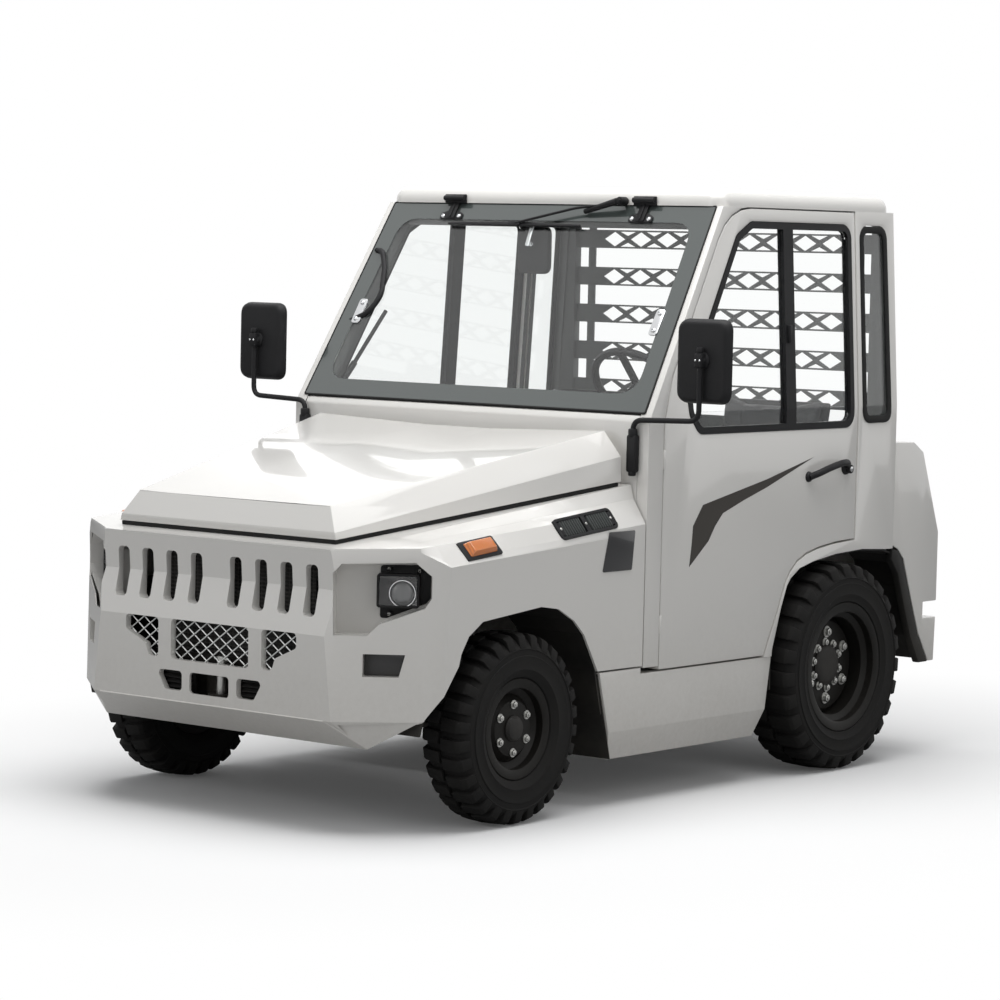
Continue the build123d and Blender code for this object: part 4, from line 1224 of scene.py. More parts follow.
@dataclass
class Wheel:
    """One kind of wheel: tyre with its lugs, dished rim, nuts and hub cap."""

    end: str
    y: float
    x: float
    radius: float
    width: float
    rim_half: float
    flange_r: float
    bead_r: float
    disc_x: float
    hub_r: float
    lugs: int
    nuts: int
    nut_circle: float
    nut_size: float
    inner_bolts: int = 0
    inner_circle: float = 0.0
    groove: float = 0.016

    def build(self, bench: Bench) -> None:
        """Builds the wheel on both sides of the vehicle."""
        tyre = self.tyre(bench)
        rim = self.rim(bench)
        nuts = self.fasteners(bench)
        cap = self.cap(bench)
        for side in (Side.LEFT, Side.RIGHT):
            body = f"{self.end}_wheel_{side.word}"
            parts = []
            for piece in (tyre, rim, nuts, cap):
                if side is Side.RIGHT:
                    parts.append(bench.mirrored(piece))
                else:
                    item = piece.copy()
                    item.data = piece.data.copy()
                    bpy.context.scene.collection.objects.link(item)
                    parts.append(item)
            names = ("tread", "dish", "wheel_nuts", "hub_cap")
            finishes = (Finish.TYRE, Finish.WHEEL, Finish.ZINC, Finish.PLASTIC)
            slots = ("tyre_rubber", "rim_paint", "bright_steel", "black_plastic")
            swaps = ([f"{self.end}_tyre_{side.word}"], [f"{self.end}_rim_{side.word}"], [], [])
            for piece, name, finish, slot, swap in zip(parts, names, finishes, slots, swaps):
                bench.place(piece, f"{self.end}_{name}_{side.word}", body, finish, slot, swap)
        for piece in (tyre, rim, nuts, cap):
            bpy.data.objects.remove(piece)

    @property
    def centre(self) -> Vector:
        """The left wheel's centre."""
        return Vector((self.x, self.y, self.radius))

    def tyre(self, bench: Bench) -> bpy.types.Object:
        """Casing with a ring of lugs on each shoulder."""
        half, r, seat = self.width / 2, self.radius, self.rim_half - 0.007
        base = r - self.groove
        wall = [
            (seat, self.bead_r), (seat, self.flange_r + 0.002), (seat + 0.009, self.flange_r + 0.006),
            (half - 0.010, self.flange_r + 0.016), (half - 0.003, self.flange_r + 0.030),
            (half - 0.0045, self.flange_r + 0.033), (half, (self.flange_r + r) / 2),
            (half - 0.003, (self.flange_r + r) / 2 + 0.002), (half - 0.004, r - 0.052),
            (half - 0.001, r - 0.049), (half - 0.006, r - 0.040), (half - 0.022, base - 0.008),
            (half - 0.040, base),
        ]
        profile = wall + [(0.0, base + 0.001)] + [(-x, q) for x, q in reversed(wall)]
        casing = bench.lathe(profile, self.centre, 120)
        pitch = 2 * math.pi / self.lugs
        long = r * pitch
        lug = bench.sheet(
            [
                (0.006, 0, r - 0.020), (0.004, 0, r - 0.0005), (half - 0.024, 0, r - 0.004),
                (half - 0.011, 0, r - 0.012), (half - 0.001, 0, r - 0.046), (half - 0.010, 0, r - 0.050),
            ],
            (0, long * 0.62, 0),
        )
        for vertex in lug.data.vertices:
            on_wall = vertex.co.x > half - 0.02
            shift = -long * 0.31
            if vertex.co.x < half * 0.5:
                shift += long * 0.10
            vertex.co.y = vertex.co.y * (0.86 if on_wall else 1.0) + shift + (long * 0.04 if on_wall else 0)
        bench.round_edges(lug, 0.0028, 2, 25.0)
        turns = []
        for index in range(self.lugs):
            for side in (0, 1):
                flip = Matrix.Diagonal((1 if side == 0 else -1, 1 if side == 0 else -1, 1, 1))
                turn = Matrix.Rotation(index * pitch + side * pitch * 0.5, 4, "X")
                turns.append(Matrix.Translation(self.centre) @ turn @ flip)
        blocks = bench.copies(lug, turns)
        return bench.join(casing, blocks)

    def rim(self, bench: Bench) -> bpy.types.Object:
        """Rolled rim with a dished disc."""
        half, well = self.rim_half, self.bead_r - 0.020
        t = 0.006
        barrel = [
            (half, self.flange_r), (half - 0.003, self.flange_r + 0.003),
            (half - 0.008, self.flange_r - 0.001), (half - 0.008, self.bead_r + 0.004),
            (half - 0.014, self.bead_r), (half - 0.032, self.bead_r - 0.002), (half - 0.042, well),
            (-half + 0.042, well), (-half + 0.030, self.bead_r), (-half + 0.007, self.bead_r),
            (-half + 0.007, self.flange_r), (-half, self.flange_r), (-half, self.bead_r - t),
            (-half + 0.026, self.bead_r - t), (-half + 0.040, well - t), (half - 0.040, well - t),
            (half - 0.028, self.bead_r - t - 0.001), (half - 0.004, self.bead_r - t),
            (half, self.bead_r + 0.002),
        ]
        made = bench.lathe(barrel, self.centre, 120)
        x, hub = self.disc_x, self.hub_r
        dish = [
            (x - 0.024, well - 0.003), (x - 0.010, well - 0.006), (x + 0.004, well - 0.022),
            (x + 0.010, hub * 1.62), (x + 0.012, hub * 1.30), (x + 0.0125, hub * 0.5), (x + 0.0125, 0.004),
            (x + 0.002, 0.004), (x + 0.001, hub * 1.5), (x - 0.006, well - 0.028), (x - 0.024, well - 0.016),
        ]
        return bench.join(made, bench.lathe(dish, self.centre, 96))

    def fasteners(self, bench: Bench) -> bpy.types.Object:
        """Wheel nuts on their circle, and the hub's own bolts."""
        face = self.disc_x + 0.012
        nut = bench.hex_bolt(
            (face, 0, 0), (1, 0, 0), self.nut_size, self.nut_size * 0.55, self.nut_size * 0.72
        )
        stud = bench.rod((face, 0, 0), (face + self.nut_size * 0.68, 0, 0), self.nut_size * 0.24, 0.001, 12)
        nut = bench.join(nut, stud)
        rings = [(self.nuts, self.nut_circle, 0.8, 0.0)]
        if self.inner_bolts:
            rings.append((self.inner_bolts, self.inner_circle, 0.62, 0.1))
        moves = []
        for count, circle, size, start in rings:
            for index in range(count):
                turn = Matrix.Rotation(start + index * 2 * math.pi / count, 4, "X")
                scale = Matrix.Translation((face, 0, 0)) @ Matrix.Scale(size, 4) @ Matrix.Translation((
                    -face, 0, 0
                ))
                moves.append(
                    Matrix.Translation(self.centre) @ turn @ Matrix.Translation((0, 0, circle)) @ scale
                )
        return bench.copies(nut, moves)

    def cap(self, bench: Bench) -> bpy.types.Object:
        """Domed hub cap."""
        face, r = self.disc_x + 0.0125, self.hub_r * 0.74
        profile = [
            (face, 0.001), (face, r), (face + 0.004, r + 0.001), (face + 0.008, r - 0.002),
            (face + 0.013, r * 0.86), (face + 0.016, r * 0.6), (face + 0.016, 0.001),
        ]
        return bench.lathe(profile, self.centre, 64)


# Body panels


@dataclass
class Bodywork:
    """Painted panels with softened creases."""

    panels: dict[str, tuple[str, float]] = field(default_factory=lambda: {
        "front_body": ("chassis", 0.007), "bonnet": ("bonnet", 0.012), "cab_frame": ("chassis", 0.005),
        "roof": ("chassis", 0.0), "cowl": ("chassis", 0.006), "door_left": ("left_door", 0.004),
        "door_right": ("right_door", 0.004), "rear_body": ("chassis", 0.008), "sills": ("chassis", 0.006),
    })

    lined: tuple[str, ...] = ("cab_frame", "roof", "cowl", "door_left", "door_right")

    @staticmethod
    def faces_in(centre: Vector, normal: Vector) -> bool:
        """Whether a face of the cab looks into the cabin.

        Args:
            centre: The face's centre.
            normal: Its normal.

        Returns:
            True if it does.
        """
        wall = abs(centre.x) > 0.55 and normal.x * math.copysign(1, centre.x) < -0.35
        front = centre.y < 0.12 and normal.y > 0.4 and abs(centre.x) < 0.70
        rear = centre.y > 0.98 and normal.y < -0.4
        above = centre.z > 1.7 and normal.z < -0.5
        return wall or front or rear or above

    def build(self, bench: Bench) -> None:
        """Builds every panel from its CAD node."""
        for node, (body, soft) in self.panels.items():
            made = bench.skin(node, soft)
            if node in self.lined:
                made.data.materials.append(bench.library.get(Finish.BODY))
                made.data.materials.append(bench.library.get(Finish.CAB_INNER))
                for face in made.data.polygons:
                    face.material_index = int(self.faces_in(face.center, face.normal))
            bench.place(made, f"{node}_panel", body, Finish.BODY, bench.slots[node], [node])


@dataclass
class PlainNodes:
    """Finishes for the CAD nodes whose shape stays."""

    nodes: dict[Finish, tuple[str, ...]] = field(default_factory=lambda: {
        Finish.FRAME: (
            "chassis_frame", "cross_members", "front_axle", "leaf_springs", "cab_floor", "rear_hitch",
            "front_hitch", "seat_bases",
        ),
        Finish.CAST: ("rear_axle", "knuckle_left", "knuckle_right", "engine_block"),
        Finish.ZINC: ("tie_rod",), Finish.FINS: ("radiator",), Finish.SEAL: ("bonnet_seal",),
        Finish.GLASS: ("windscreen", "door_glass_left", "door_glass_right", "quarter_windows"),
        Finish.TRIM: ("door_trim_left", "door_trim_right"), Finish.LINER: ("front_liners", "rear_liners"),
        Finish.PLASTIC: ("steering_column", "steering_wheel"),
    })

    def build(self, bench: Bench) -> None:
        """Dresses the nodes."""
        for finish, names in self.nodes.items():
            for name in names:
                bench.dress(name, finish)


# Nose


@dataclass
class Nose:
    """Wire in the nose's upper openings, blades in the lower ones, and the lamps in the corner facets."""

    wire: float = 0.0021
    across: float = 0.053
    high: float = 0.038
    wire_depth: float = -0.0165
    centre: tuple[Point, ...] = ((-0.160, 0.590), (0.160, 0.590), (0.160, 0.468), (-0.160, 0.468))
    wing: tuple[Point, ...] = (
        (0.213, 0.590), (0.352, 0.590), (0.352, 0.545), (0.268, 0.508), (0.254, 0.470), (0.213, 0.470),
    )
    lamp_u: float = 0.198
    lamp_v: float = 0.716

    def build(self, bench: Bench) -> None:
        """Builds the nose's fittings."""
        self.wires(bench)
        self.blades(bench)
        self.lamps(bench)
        self.fog_plates(bench)

    def wires(self, bench: Bench) -> None:
        """Crossed wires clipped to each opening, with a wire round its edge."""
        rods = []
        for outline in (list(self.centre), list(self.wing), flipped(self.wing)):
            loop = rounded(outline, 0.013, 4)
            for slope, lift in ((1, 0.0), (-1, 2 * self.wire)):
                step = (self.across / 2, slope * self.high / 2)
                for index in range(-14, 15):
                    start = (index * self.across, 0.528)
                    for low, high in clipped(loop, start, step):
                        a, b = ((start[0] + step[0] * t, start[1] + step[1] * t) for t in (low, high))
                        depth = self.wire_depth - lift
                        rods.append(bench.rod(NOSE.at(*a, depth), NOSE.at(*b, depth), self.wire, 0.0, 8))
        bench.place(
            bench.join(*rods), "grille_wires", "chassis", Finish.WIRE, "bright_steel", ["grille_mesh"]
        )

    def blades(self, bench: Bench) -> None:
        """Dark blades behind the lower openings, and a backing plate behind them."""
        blades = []
        for index in range(4):
            level = 0.384 + index * 0.015
            blades.append(bench.block(
                NOSE.at(0.166, level, -0.034), (0.136, 0.018, 0.0025), 0.0008, (0.6, 0, 0)
            ))
        backing = bench.block(NOSE.at(0.166, 0.404, -0.050), (0.136, 0.004, 0.080), 0.001)
        bench.place(
            bench.pair(bench.join(*blades, backing)), "lower_blades", "chassis", Finish.TRIM, "black_plastic"
        )

    def lamps(self, bench: Bench) -> None:
        """Bracket, lamp box, round lens, cover and screws in each recess."""
        u, v = self.lamp_u, self.lamp_v
        bracket = bench.plate(
            FACET,
            rounded(
                [
                    (0.140, 0.640), (0.160, 0.640), (0.276, 0.686), (0.289, 0.702), (0.289, 0.774),
                    (0.262, 0.799), (0.140, 0.796),
                ],
                0.010,
            ),
            -0.0805, -0.0775, 0.0006,
        )
        case = bench.plate(
            FACET, rounded(rectangle(0.126, 0.100, u - 0.002, v + 0.008), 0.010), -0.0775, -0.067, 0.001
        )
        wall = bench.ring(
            FACET, rounded(rectangle(0.126, 0.100, u - 0.002, v + 0.008), 0.010),
            rounded(rectangle(0.114, 0.088, u - 0.002, v + 0.008), 0.007), -0.067, -0.040, 0.0012,
        )
        ears = [
            bench.block(FACET.at(a, b, -0.073), (0.018, 0.018, 0.010), 0.003, (0, 0, FACET_TURN))
            for a, b in ((0.166, 0.786), (0.256, 0.782), (0.168, 0.654))
        ]
        body = bench.join(bracket, case, wall, *ears)
        bench.place(bench.pair(body), "lamp_cases", "chassis", Finish.TRIM, "black_plastic", ["headlamps"])
        shroud = bench.spun(
            [
                (0.0, 0.0343), (0.0, 0.0405), (0.012, 0.0400), (0.015, 0.0385), (0.015, 0.0365),
                (0.010, 0.0343),
            ],
            FACET.at(u + 0.010, v, -0.067), FACET.out, 48,
        )
        bench.place(bench.pair(shroud), "lamp_reflectors", "chassis", Finish.CHROME, "bright_steel")
        lens = bench.spun(
            [
                (0.0, 0.0003), (0.0, 0.034), (0.006, 0.0335), (0.012, 0.029), (0.017, 0.020), (0.0195, 0.010),
                (0.020, 0.0003),
            ],
            FACET.at(u + 0.010, v, -0.066), FACET.out, 48,
        )
        bench.place(bench.pair(lens), "lamp_lenses", "chassis", Finish.PROJECTOR, "clear_glass")
        cover = bench.plate(
            FACET, rounded(rectangle(0.112, 0.086, u - 0.002, v + 0.008), 0.006), -0.0445, -0.0420, 0.0006
        )
        bench.place(bench.pair(cover), "lamp_covers", "chassis", Finish.LAMP_GLASS, "clear_glass")
        screws = [
            bench.dome_bolt(FACET.at(a, b, -0.068), FACET.out, 0.0062)
            for a, b in ((0.166, 0.786), (0.256, 0.782), (0.168, 0.654))
        ]
        bench.place(bench.pair(bench.join(*screws)), "lamp_screws", "chassis", Finish.ZINC, "bright_steel")

    def fog_plates(self, bench: Bench) -> None:
        """Dark blank plate in each fog lamp recess."""
        plate = bench.plate(
            FACET, rounded([(0.103, 0.541), (0.2245, 0.541), (0.2072, 0.476), (0.103, 0.476)], 0.005),
            -0.0275, -0.0235, 0.001,
        )
        bench.place(bench.pair(plate), "fog_blanks", "chassis", Finish.PLATE, "black_plastic")


@dataclass
class Shoulder:
    """Side repeaters and air vents let into the front wings' shoulders."""

    repeater_at: float = -0.188
    vent_at: float = 0.322
    vent_size: tuple[float, float] = (0.284, 0.074)
    blades: int = 9

    def build(self, bench: Bench) -> None:
        """Builds both fittings on both sides."""
        self.repeater(bench)
        self.vent(bench)

    def repeater(self, bench: Bench) -> None:
        """Amber lens in a black bezel."""
        seat = shoulder(self.repeater_at)
        bezel = bench.plate(seat, rounded(rectangle(0.162, 0.068), 0.008), -0.014, 0.0035, 0.0016)
        bench.place(bench.pair(bezel), "repeater_bezels", "chassis", Finish.TRIM, "black_plastic")
        lens = bench.plate(seat, rounded(rectangle(0.124, 0.050), 0.006), 0.0036, 0.019, 0.0)
        for vertex in lens.data.vertices:
            away = vertex.co - seat.origin
            if away.dot(seat.out) > 0.012:
                along, up = away.dot(seat.along), away.dot(seat.up)
                vertex.co = seat.at(along * 0.80 + 0.004, up * 0.72 + 0.003, away.dot(seat.out))
        bench.round_edges(lens, 0.0028, 3, 30.0)
        bench.place(
            bench.pair(lens), "repeater_lenses", "chassis", Finish.AMBER, "amber_lens", ["indicators"]
        )

    def vent(self, bench: Bench) -> None:
        """Oblong frame with two banks of tilted blades and three screws."""
        seat = shoulder(self.vent_at)
        long, high = self.vent_size
        frame = bench.ring(
            seat, rounded(rectangle(long, high), 0.020),
            rounded(rectangle(long - 0.022, high - 0.020), 0.011), -0.014, 0.0038, 0.0015,
        )
        parts = [
            frame, bench.plate(seat, rounded(rectangle(long - 0.02, high - 0.018), 0.011), -0.0139, -0.0115)
        ]
        parts.append(bench.plate(seat, rounded(rectangle(0.020, high - 0.018), 0.001), -0.012, 0.003, 0.001))
        for end in (-1, 1):
            parts.append(bench.plate(
                seat, rounded(rectangle(0.018, high - 0.030, end * (long / 2 - 0.018)), 0.003), -0.012, 0.003,
                0.001,
            ))
        reach = long / 2 - 0.040
        blades = []
        for bank in (-1, 1):
            for index in range(self.blades):
                u = bank * (0.017 + reach * (index + 0.5) / self.blades)
                blade = bench.block((0, 0, 0), (0.0030, high - 0.022, 0.012), 0.0007, (0, 0.25, 0))
                blade.data.transform(Matrix.Translation(seat.at(u, 0, -0.0025)) @ seat.turned().to_4x4())
                blades.append(blade)
        bench.place(
            bench.pair(bench.join(*parts)), "wing_vents", "chassis", Finish.TRIM, "black_plastic",
            ["side_vents"],
        )
        bench.place(bench.pair(bench.join(*blades)), "vent_blades", "chassis", Finish.GUARD, "black_plastic")
        screws = [bench.dome_bolt(seat.at(u, 0, 0.003), seat.out, 0.0048) for u in (-0.124, 0.0, 0.124)]
        bench.place(bench.pair(bench.join(*screws)), "vent_screws", "chassis", Finish.ZINC, "bright_steel")


# Windscreen and its fittings


@dataclass
class Windscreen:
    """Dark border on the pane, top hinges, stay brackets and the parked wiper."""

    foot: float = 0.717
    head: float = 0.680
    hinge_x: float = 0.400
    roof_front: float = 0.087
    roof_z: float = 1.880

    def edge(self, shrink: float, radius: float) -> list[tuple[float, float]]:
        """The pane's outline moved in by a distance, with round corners."""
        low, high = self.foot - shrink, self.head - shrink
        return rounded(
            [(-low, shrink), (low, shrink), (high, SCREEN_LENGTH - shrink), (-high, SCREEN_LENGTH - shrink)],
            radius, 8,
        )

    def build(self, bench: Bench) -> None:
        """Builds the fittings."""
        border = bench.ring(SCREEN, self.edge(0.0025, 0.006), self.edge(0.066, 0.078), 0.0003, 0.0008)
        bench.place(border, "pane_border", "chassis", Finish.BORDER, "black_plastic")
        seal = bench.ring(SCREEN, self.edge(-0.0015, 0.008), self.edge(0.004, 0.006), -0.0065, 0.0016, 0.0006)
        bench.place(seal, "pane_seal", "chassis", Finish.SEAL, "black_rubber")
        self.hinges(bench)
        self.brackets(bench)
        self.wiper(bench)

    def hinges(self, bench: Bench) -> None:
        """Roof plate, barrel, strap and foot of each top hinge."""
        x, top = self.hinge_x, SCREEN_LENGTH
        roof = bench.block((x, self.roof_front - 0.004, self.roof_z + 0.014), (0.092, 0.008, 0.030), 0.003)
        barrel = bench.rod(
            (x - 0.043, self.roof_front - 0.013, self.roof_z + 0.016),
            (x + 0.043, self.roof_front - 0.013, self.roof_z + 0.016), 0.009, 0.002,
        )
        strap = bench.plate(
            SCREEN, rounded(rectangle(0.034, 0.082, x, top - 0.026), 0.004), 0.0052, 0.0105, 0.0015
        )
        rib = bench.plate(
            SCREEN, rounded(rectangle(0.007, 0.070, x, top - 0.028), 0.003), 0.0100, 0.0140, 0.0012
        )
        foot = bench.plate(
            SCREEN,
            rounded(
                [
                    (x - 0.048, top - 0.070), (x + 0.048, top - 0.070), (x + 0.048, top - 0.046),
                    (x + 0.020, top - 0.034), (x - 0.020, top - 0.034), (x - 0.048, top - 0.046),
                ],
                0.011,
            ),
            0.0010, 0.0060, 0.0012,
        )
        body = bench.join(roof, barrel, strap, rib, foot)
        bench.place(
            bench.pair(body), "screen_hinges", "chassis", Finish.TRIM, "black_plastic", ["windscreen_hinges"]
        )
        bolts = [
            bench.dome_bolt(SCREEN.at(x + e * 0.034, top - 0.057, 0.0058), SCREEN.out, 0.0085)
            for e in (-1, 1)
        ]
        bolts += [
            bench.dome_bolt(
                (x + e * 0.035, self.roof_front - 0.0078, self.roof_z + 0.014), (0, -1, 0), 0.0065
            )
            for e in (-1, 1)
        ]
        bench.place(bench.pair(bench.join(*bolts)), "hinge_bolts", "chassis", Finish.CHROME, "bright_steel")

    def brackets(self, bench: Bench) -> None:
        """Plated stay bracket with two bolts near each edge of the pane."""
        u, v = self.foot - 0.090, 0.330
        plate = bench.plate(SCREEN, rounded(rectangle(0.034, 0.096, u, v), 0.012), 0.0, 0.0055, 0.0014)
        bolts = [bench.dome_bolt(SCREEN.at(u, v + e * 0.032, 0.0052), SCREEN.out, 0.0085) for e in (-1, 1)]
        bench.place(
            bench.pair(bench.join(plate, *bolts)), "stay_brackets", "chassis", Finish.CHROME, "bright_steel",
            ["screen_brackets"],
        )

    def wiper(self, bench: Bench) -> None:
        """Pivot, bent arm, carrier and rubber blade."""
        v = SCREEN_LENGTH - 0.090
        pivot = Vector((0.318, self.roof_front - 0.014, self.roof_z + 0.012))
        rubber = bench.plate(SCREEN, rectangle(0.560, 0.004, -0.110, v), 0.0012, 0.009)
        frame = bench.plate(
            SCREEN,
            rounded(
                [
                    (-0.392, v - 0.004), (0.172, v - 0.004), (0.172, v + 0.003), (-0.080, v + 0.009),
                    (-0.140, v + 0.009), (-0.392, v + 0.003),
                ],
                0.002,
            ),
            0.009, 0.0145, 0.001,
        )
        tail = bench.pipe(
            [
                SCREEN.at(-0.100, v + 0.002, 0.018), SCREEN.at(0.140, v + 0.060, 0.026),
                pivot + Vector((-0.050, -0.014, -0.012)),
            ],
            0.0045, 0.03,
        )
        arm = bench.rod(
            pivot + Vector((-0.150, -0.010, -0.036)), pivot + Vector((-0.012, -0.016, 0.0)), 0.0085, 0.002,
            20, 0.0115,
        )
        hub = bench.rod(pivot + Vector((0, 0.014, 0)), pivot + Vector((0, -0.024, 0)), 0.0145, 0.004)
        nut = bench.rod(
            pivot + Vector((0.002, -0.024, 0)), pivot + Vector((0.002, -0.031, 0)), 0.008, 0.001, 6
        )
        clip = bench.plate(
            SCREEN, rounded(rectangle(0.050, 0.016, -0.105, v + 0.002), 0.004), 0.0145, 0.020, 0.0015
        )
        bench.place(
            bench.join(rubber, frame, tail, arm, hub, nut, clip), "wiper_arm", "chassis", Finish.TRIM,
            "black_plastic", ["wiper"],
        )


# Cab outside


@dataclass
class Mirrors:
    """Mirror heads on bent tubes from the cab's front corners."""

    foot: tuple[float, float, float] = (0.690, -0.345, 1.086)
    head: tuple[float, float, float] = (0.927, -0.291, 1.396)
    size: tuple[float, float] = (0.204, 0.268)

    def build(self, bench: Bench) -> None:
        """Builds both mirrors."""
        x, y, z = self.head
        face = Plane(Vector((x, y + 0.008, z)), Vector((-1, 0, 0)), Vector((0, 0, 1)))
        shell = bench.plate(face, rounded(rectangle(*self.size), 0.040, 8), -0.034, 0.0, 0.0)
        for vertex in shell.data.vertices:
            if vertex.co.y < y - 0.01:
                vertex.co = Vector((x + (vertex.co.x - x) * 0.90, vertex.co.y, z + (vertex.co.z - z) * 0.92))
        bench.round_edges(shell, 0.011, 4, 40.0)
        ball = bench.spun(
            [
                (0, 0.0003), (0, 0.026), (0.006, 0.025), (0.010, 0.018), (0.020, 0.016), (0.024, 0.012),
                (0.025, 0.0003),
            ],
            (x + 0.008, y - 0.024, z + 0.004), (0, -1, 0), 32,
        )
        tube_x, tube_y, foot_y = x + 0.008, y - 0.041, self.foot[1] + 0.005
        tube = bench.pipe(
            [
                (self.foot[0], foot_y, 1.040), (self.foot[0], foot_y, 1.205), (tube_x, tube_y, 1.212),
                (tube_x, tube_y, 1.425),
            ],
            0.0085, 0.034, 5,
        )
        clamp = bench.block((tube_x, tube_y - 0.002, z + 0.004), (0.030, 0.026, 0.046), 0.006)
        knob = bench.rod(
            (tube_x, tube_y - 0.002, z + 0.026), (tube_x, tube_y - 0.002, z + 0.044), 0.011, 0.004
        )
        grip = bench.block((self.foot[0], self.foot[1] + 0.006, 1.100), (0.036, 0.026, 0.118), 0.007)
        cap = bench.rod((self.foot[0], foot_y, 1.150), (self.foot[0], foot_y, 1.178), 0.015, 0.004)
        low_cap = bench.rod((self.foot[0], foot_y, 1.030), (self.foot[0], foot_y, 1.044), 0.012, 0.003)
        body = bench.join(shell, ball, tube, clamp, knob, grip, cap, low_cap)
        bench.place(bench.pair(body), "mirror_heads", "chassis", Finish.PLASTIC, "black_plastic", ["mirrors"])
        glass = bench.plate(
            face, rounded(rectangle(self.size[0] - 0.026, self.size[1] - 0.030), 0.030, 8), -0.001, 0.0012,
            0.0005,
        )
        bench.place(bench.pair(glass), "mirror_faces", "chassis", Finish.MIRROR, "bright_steel")
        screws = [
            bench.dome_bolt((tube_x + e * 0.008, tube_y - 0.0148, z + 0.004), (0, -1, 0), 0.0036)
            for e in (-1, 1)
        ]
        bench.place(
            bench.pair(bench.join(*screws)), "mirror_screws", "chassis", Finish.CHROME, "bright_steel"
        )


@dataclass
class Doors:
    """What the doors carry: handle, lock, a painted shadow where the body side flares, window latch, seal and
    hinges.
    """

    # Outline on FLANK of a painted shadow: the dark S-curve where the body side flares out toward the wheel
    # arch.
    stripe: tuple[Point, ...] = (
        (-0.096, 0.734), (-0.086, 0.800), (-0.080, 0.864), (-0.029, 0.929), (0.140, 0.962), (0.325, 0.998),
        (0.595, 1.062), (0.326, 0.972), (0.200, 0.936), (0.082, 0.898), (0.040, 0.858), (0.006, 0.812),
    )
    bodies: tuple[str, str] = ("left_door", "right_door")

    def build(self, bench: Bench) -> None:
        """Builds both doors' fittings."""
        grip = bench.pipe(
            [
                (0.750, 0.566, 0.997), (0.772, 0.588, 1.010), (0.779, 0.640, 1.026), (0.779, 0.715, 1.040),
                (0.768, 0.762, 1.040), (0.752, 0.786, 1.026),
            ],
            0.0115, 0.016, 5,
        )
        ends = [
            bench.spun(
                [(0, 0.0003), (0, r), (0.005, r - 0.001), (0.010, r * 0.7), (0.0105, 0.0003)], (0.743, a, b),
                (1, 0, 0), 32,
            )
            for a, b, r in ((0.566, 0.997, 0.018), (0.787, 1.022, 0.026))
        ]
        lock = bench.rod((0.745, 0.790, 1.016), (0.766, 0.790, 1.016), 0.015, 0.003)
        bench.sides(
            bench.join(grip, *ends, lock), "door_handle", self.bodies, Finish.PLASTIC, "black_plastic"
        )
        key = bench.rod((0.7655, 0.790, 1.016), (0.7672, 0.790, 1.016), 0.009, 0.0005)
        bench.sides(key, "door_lock", self.bodies, Finish.CHROME, "bright_steel")
        # Painted shadow: a thin dark sheet on each door that stands in for the shade of the body side's
        # flare.
        stripe = bench.plate(FLANK, self.stripe, 0.0001, 0.0006)
        bench.sides(stripe, "door_stripe", self.bodies, Finish.STRIPE, "black_plastic")
        catch = bench.block((0.728, 0.446, 1.470), (0.022, 0.018, 0.060), 0.004)
        lever = bench.block((0.716, 0.440, 1.486), (0.012, 0.010, 0.040), 0.003)
        bench.sides(bench.join(catch, lever), "window_catch", self.bodies, Finish.TRIM, "black_plastic")
        straps = []
        for level in (0.560, 1.080):
            straps.append(bench.rod(
                (0.7415, -0.243, level - 0.030), (0.7415, -0.243, level + 0.030), 0.0055, 0.0015
            ))
        bench.sides(bench.join(*straps), "door_hinge_pins", self.bodies, Finish.BODY, "body_paint")
        self.quarter_seals(bench)

    def quarter_seals(self, bench: Bench) -> None:
        """Black frame round each fixed pane behind the doors."""
        y = REAR_AXLE_Y
        corners = [(y + 0.114, -0.058), (y + 0.290, -0.058), (y + 0.280, 0.607), (y + 0.114, 0.607)]
        inner = [(y + 0.138, -0.034), (y + 0.266, -0.034), (y + 0.258, 0.584), (y + 0.138, 0.584)]
        seal = bench.ring(
            CAB_SIDE, rounded(corners, 0.046, 6), rounded(inner, 0.026, 6), -0.006, 0.0012, 0.001
        )
        bench.place(bench.pair(seal), "quarter_seals", "chassis", Finish.SEAL, "black_rubber")


@dataclass
class RearGuard:
    """Slats with diamond and triangle cut-outs across the rear opening, on two posts."""

    half: float = 0.638
    y: float = 1.078
    low: float = 1.230
    pitch: float = 0.135
    slat: float = 0.066
    cell: float = 0.118
    post: float = 0.579
    count: int = 5

    def build(self, bench: Bench) -> None:
        """Builds the guard."""
        plane = Plane(Vector((0, self.y + 0.003, self.low)), Vector((-1, 0, 0)), Vector((0, 0, 1)))
        slat = bench.plate(plane, rectangle(2 * self.half, self.slat), -0.006, 0.0)
        w, h, bar = self.cell / 2, self.slat / 2 - 0.006, 0.012
        cutters = []
        for index in range(-4, 5):
            u = index * self.cell
            cutters.append(bench.plate(
                plane, [(u - w + bar, 0), (u, -h), (u + w - bar, 0), (u, h)], -0.02, 0.02
            ))
        for index in range(-4, 4):
            u = (index + 0.5) * self.cell
            for way in (-1, 1):
                corners = [(u - w + 2 * bar, way * h), (u + w - 2 * bar, way * h), (u, way * bar)]
                cutters.append(bench.plate(plane, corners, -0.02, 0.02))
        bench.cut(slat, bench.join(*cutters))
        slats = bench.copies(
            slat, [Matrix.Translation((0, 0, index * self.pitch)) for index in range(self.count)]
        )
        posts = [
            bench.block((x, self.y + 0.008, 1.4955), (0.030, 0.010, 0.681), 0.002)
            for x in (-self.post, self.post)
        ]
        body = bench.join(slats, *posts)
        bench.round_edges(body, 0.0006, 1, 60.0)
        bench.place(body, "guard_slats", "chassis", Finish.GUARD, "black_steel", ["rear_guard"])
        bolts = [
            bench.hex_bolt(
                (x, self.y + 0.0125, self.low + index * self.pitch), (0, 1, 0), 0.016, 0.006, 0.010
            )
            for x in (-self.post, self.post)
            for index in range(self.count)
        ]
        bench.place(bench.join(*bolts), "guard_bolts", "chassis", Finish.ZINC, "bright_steel")


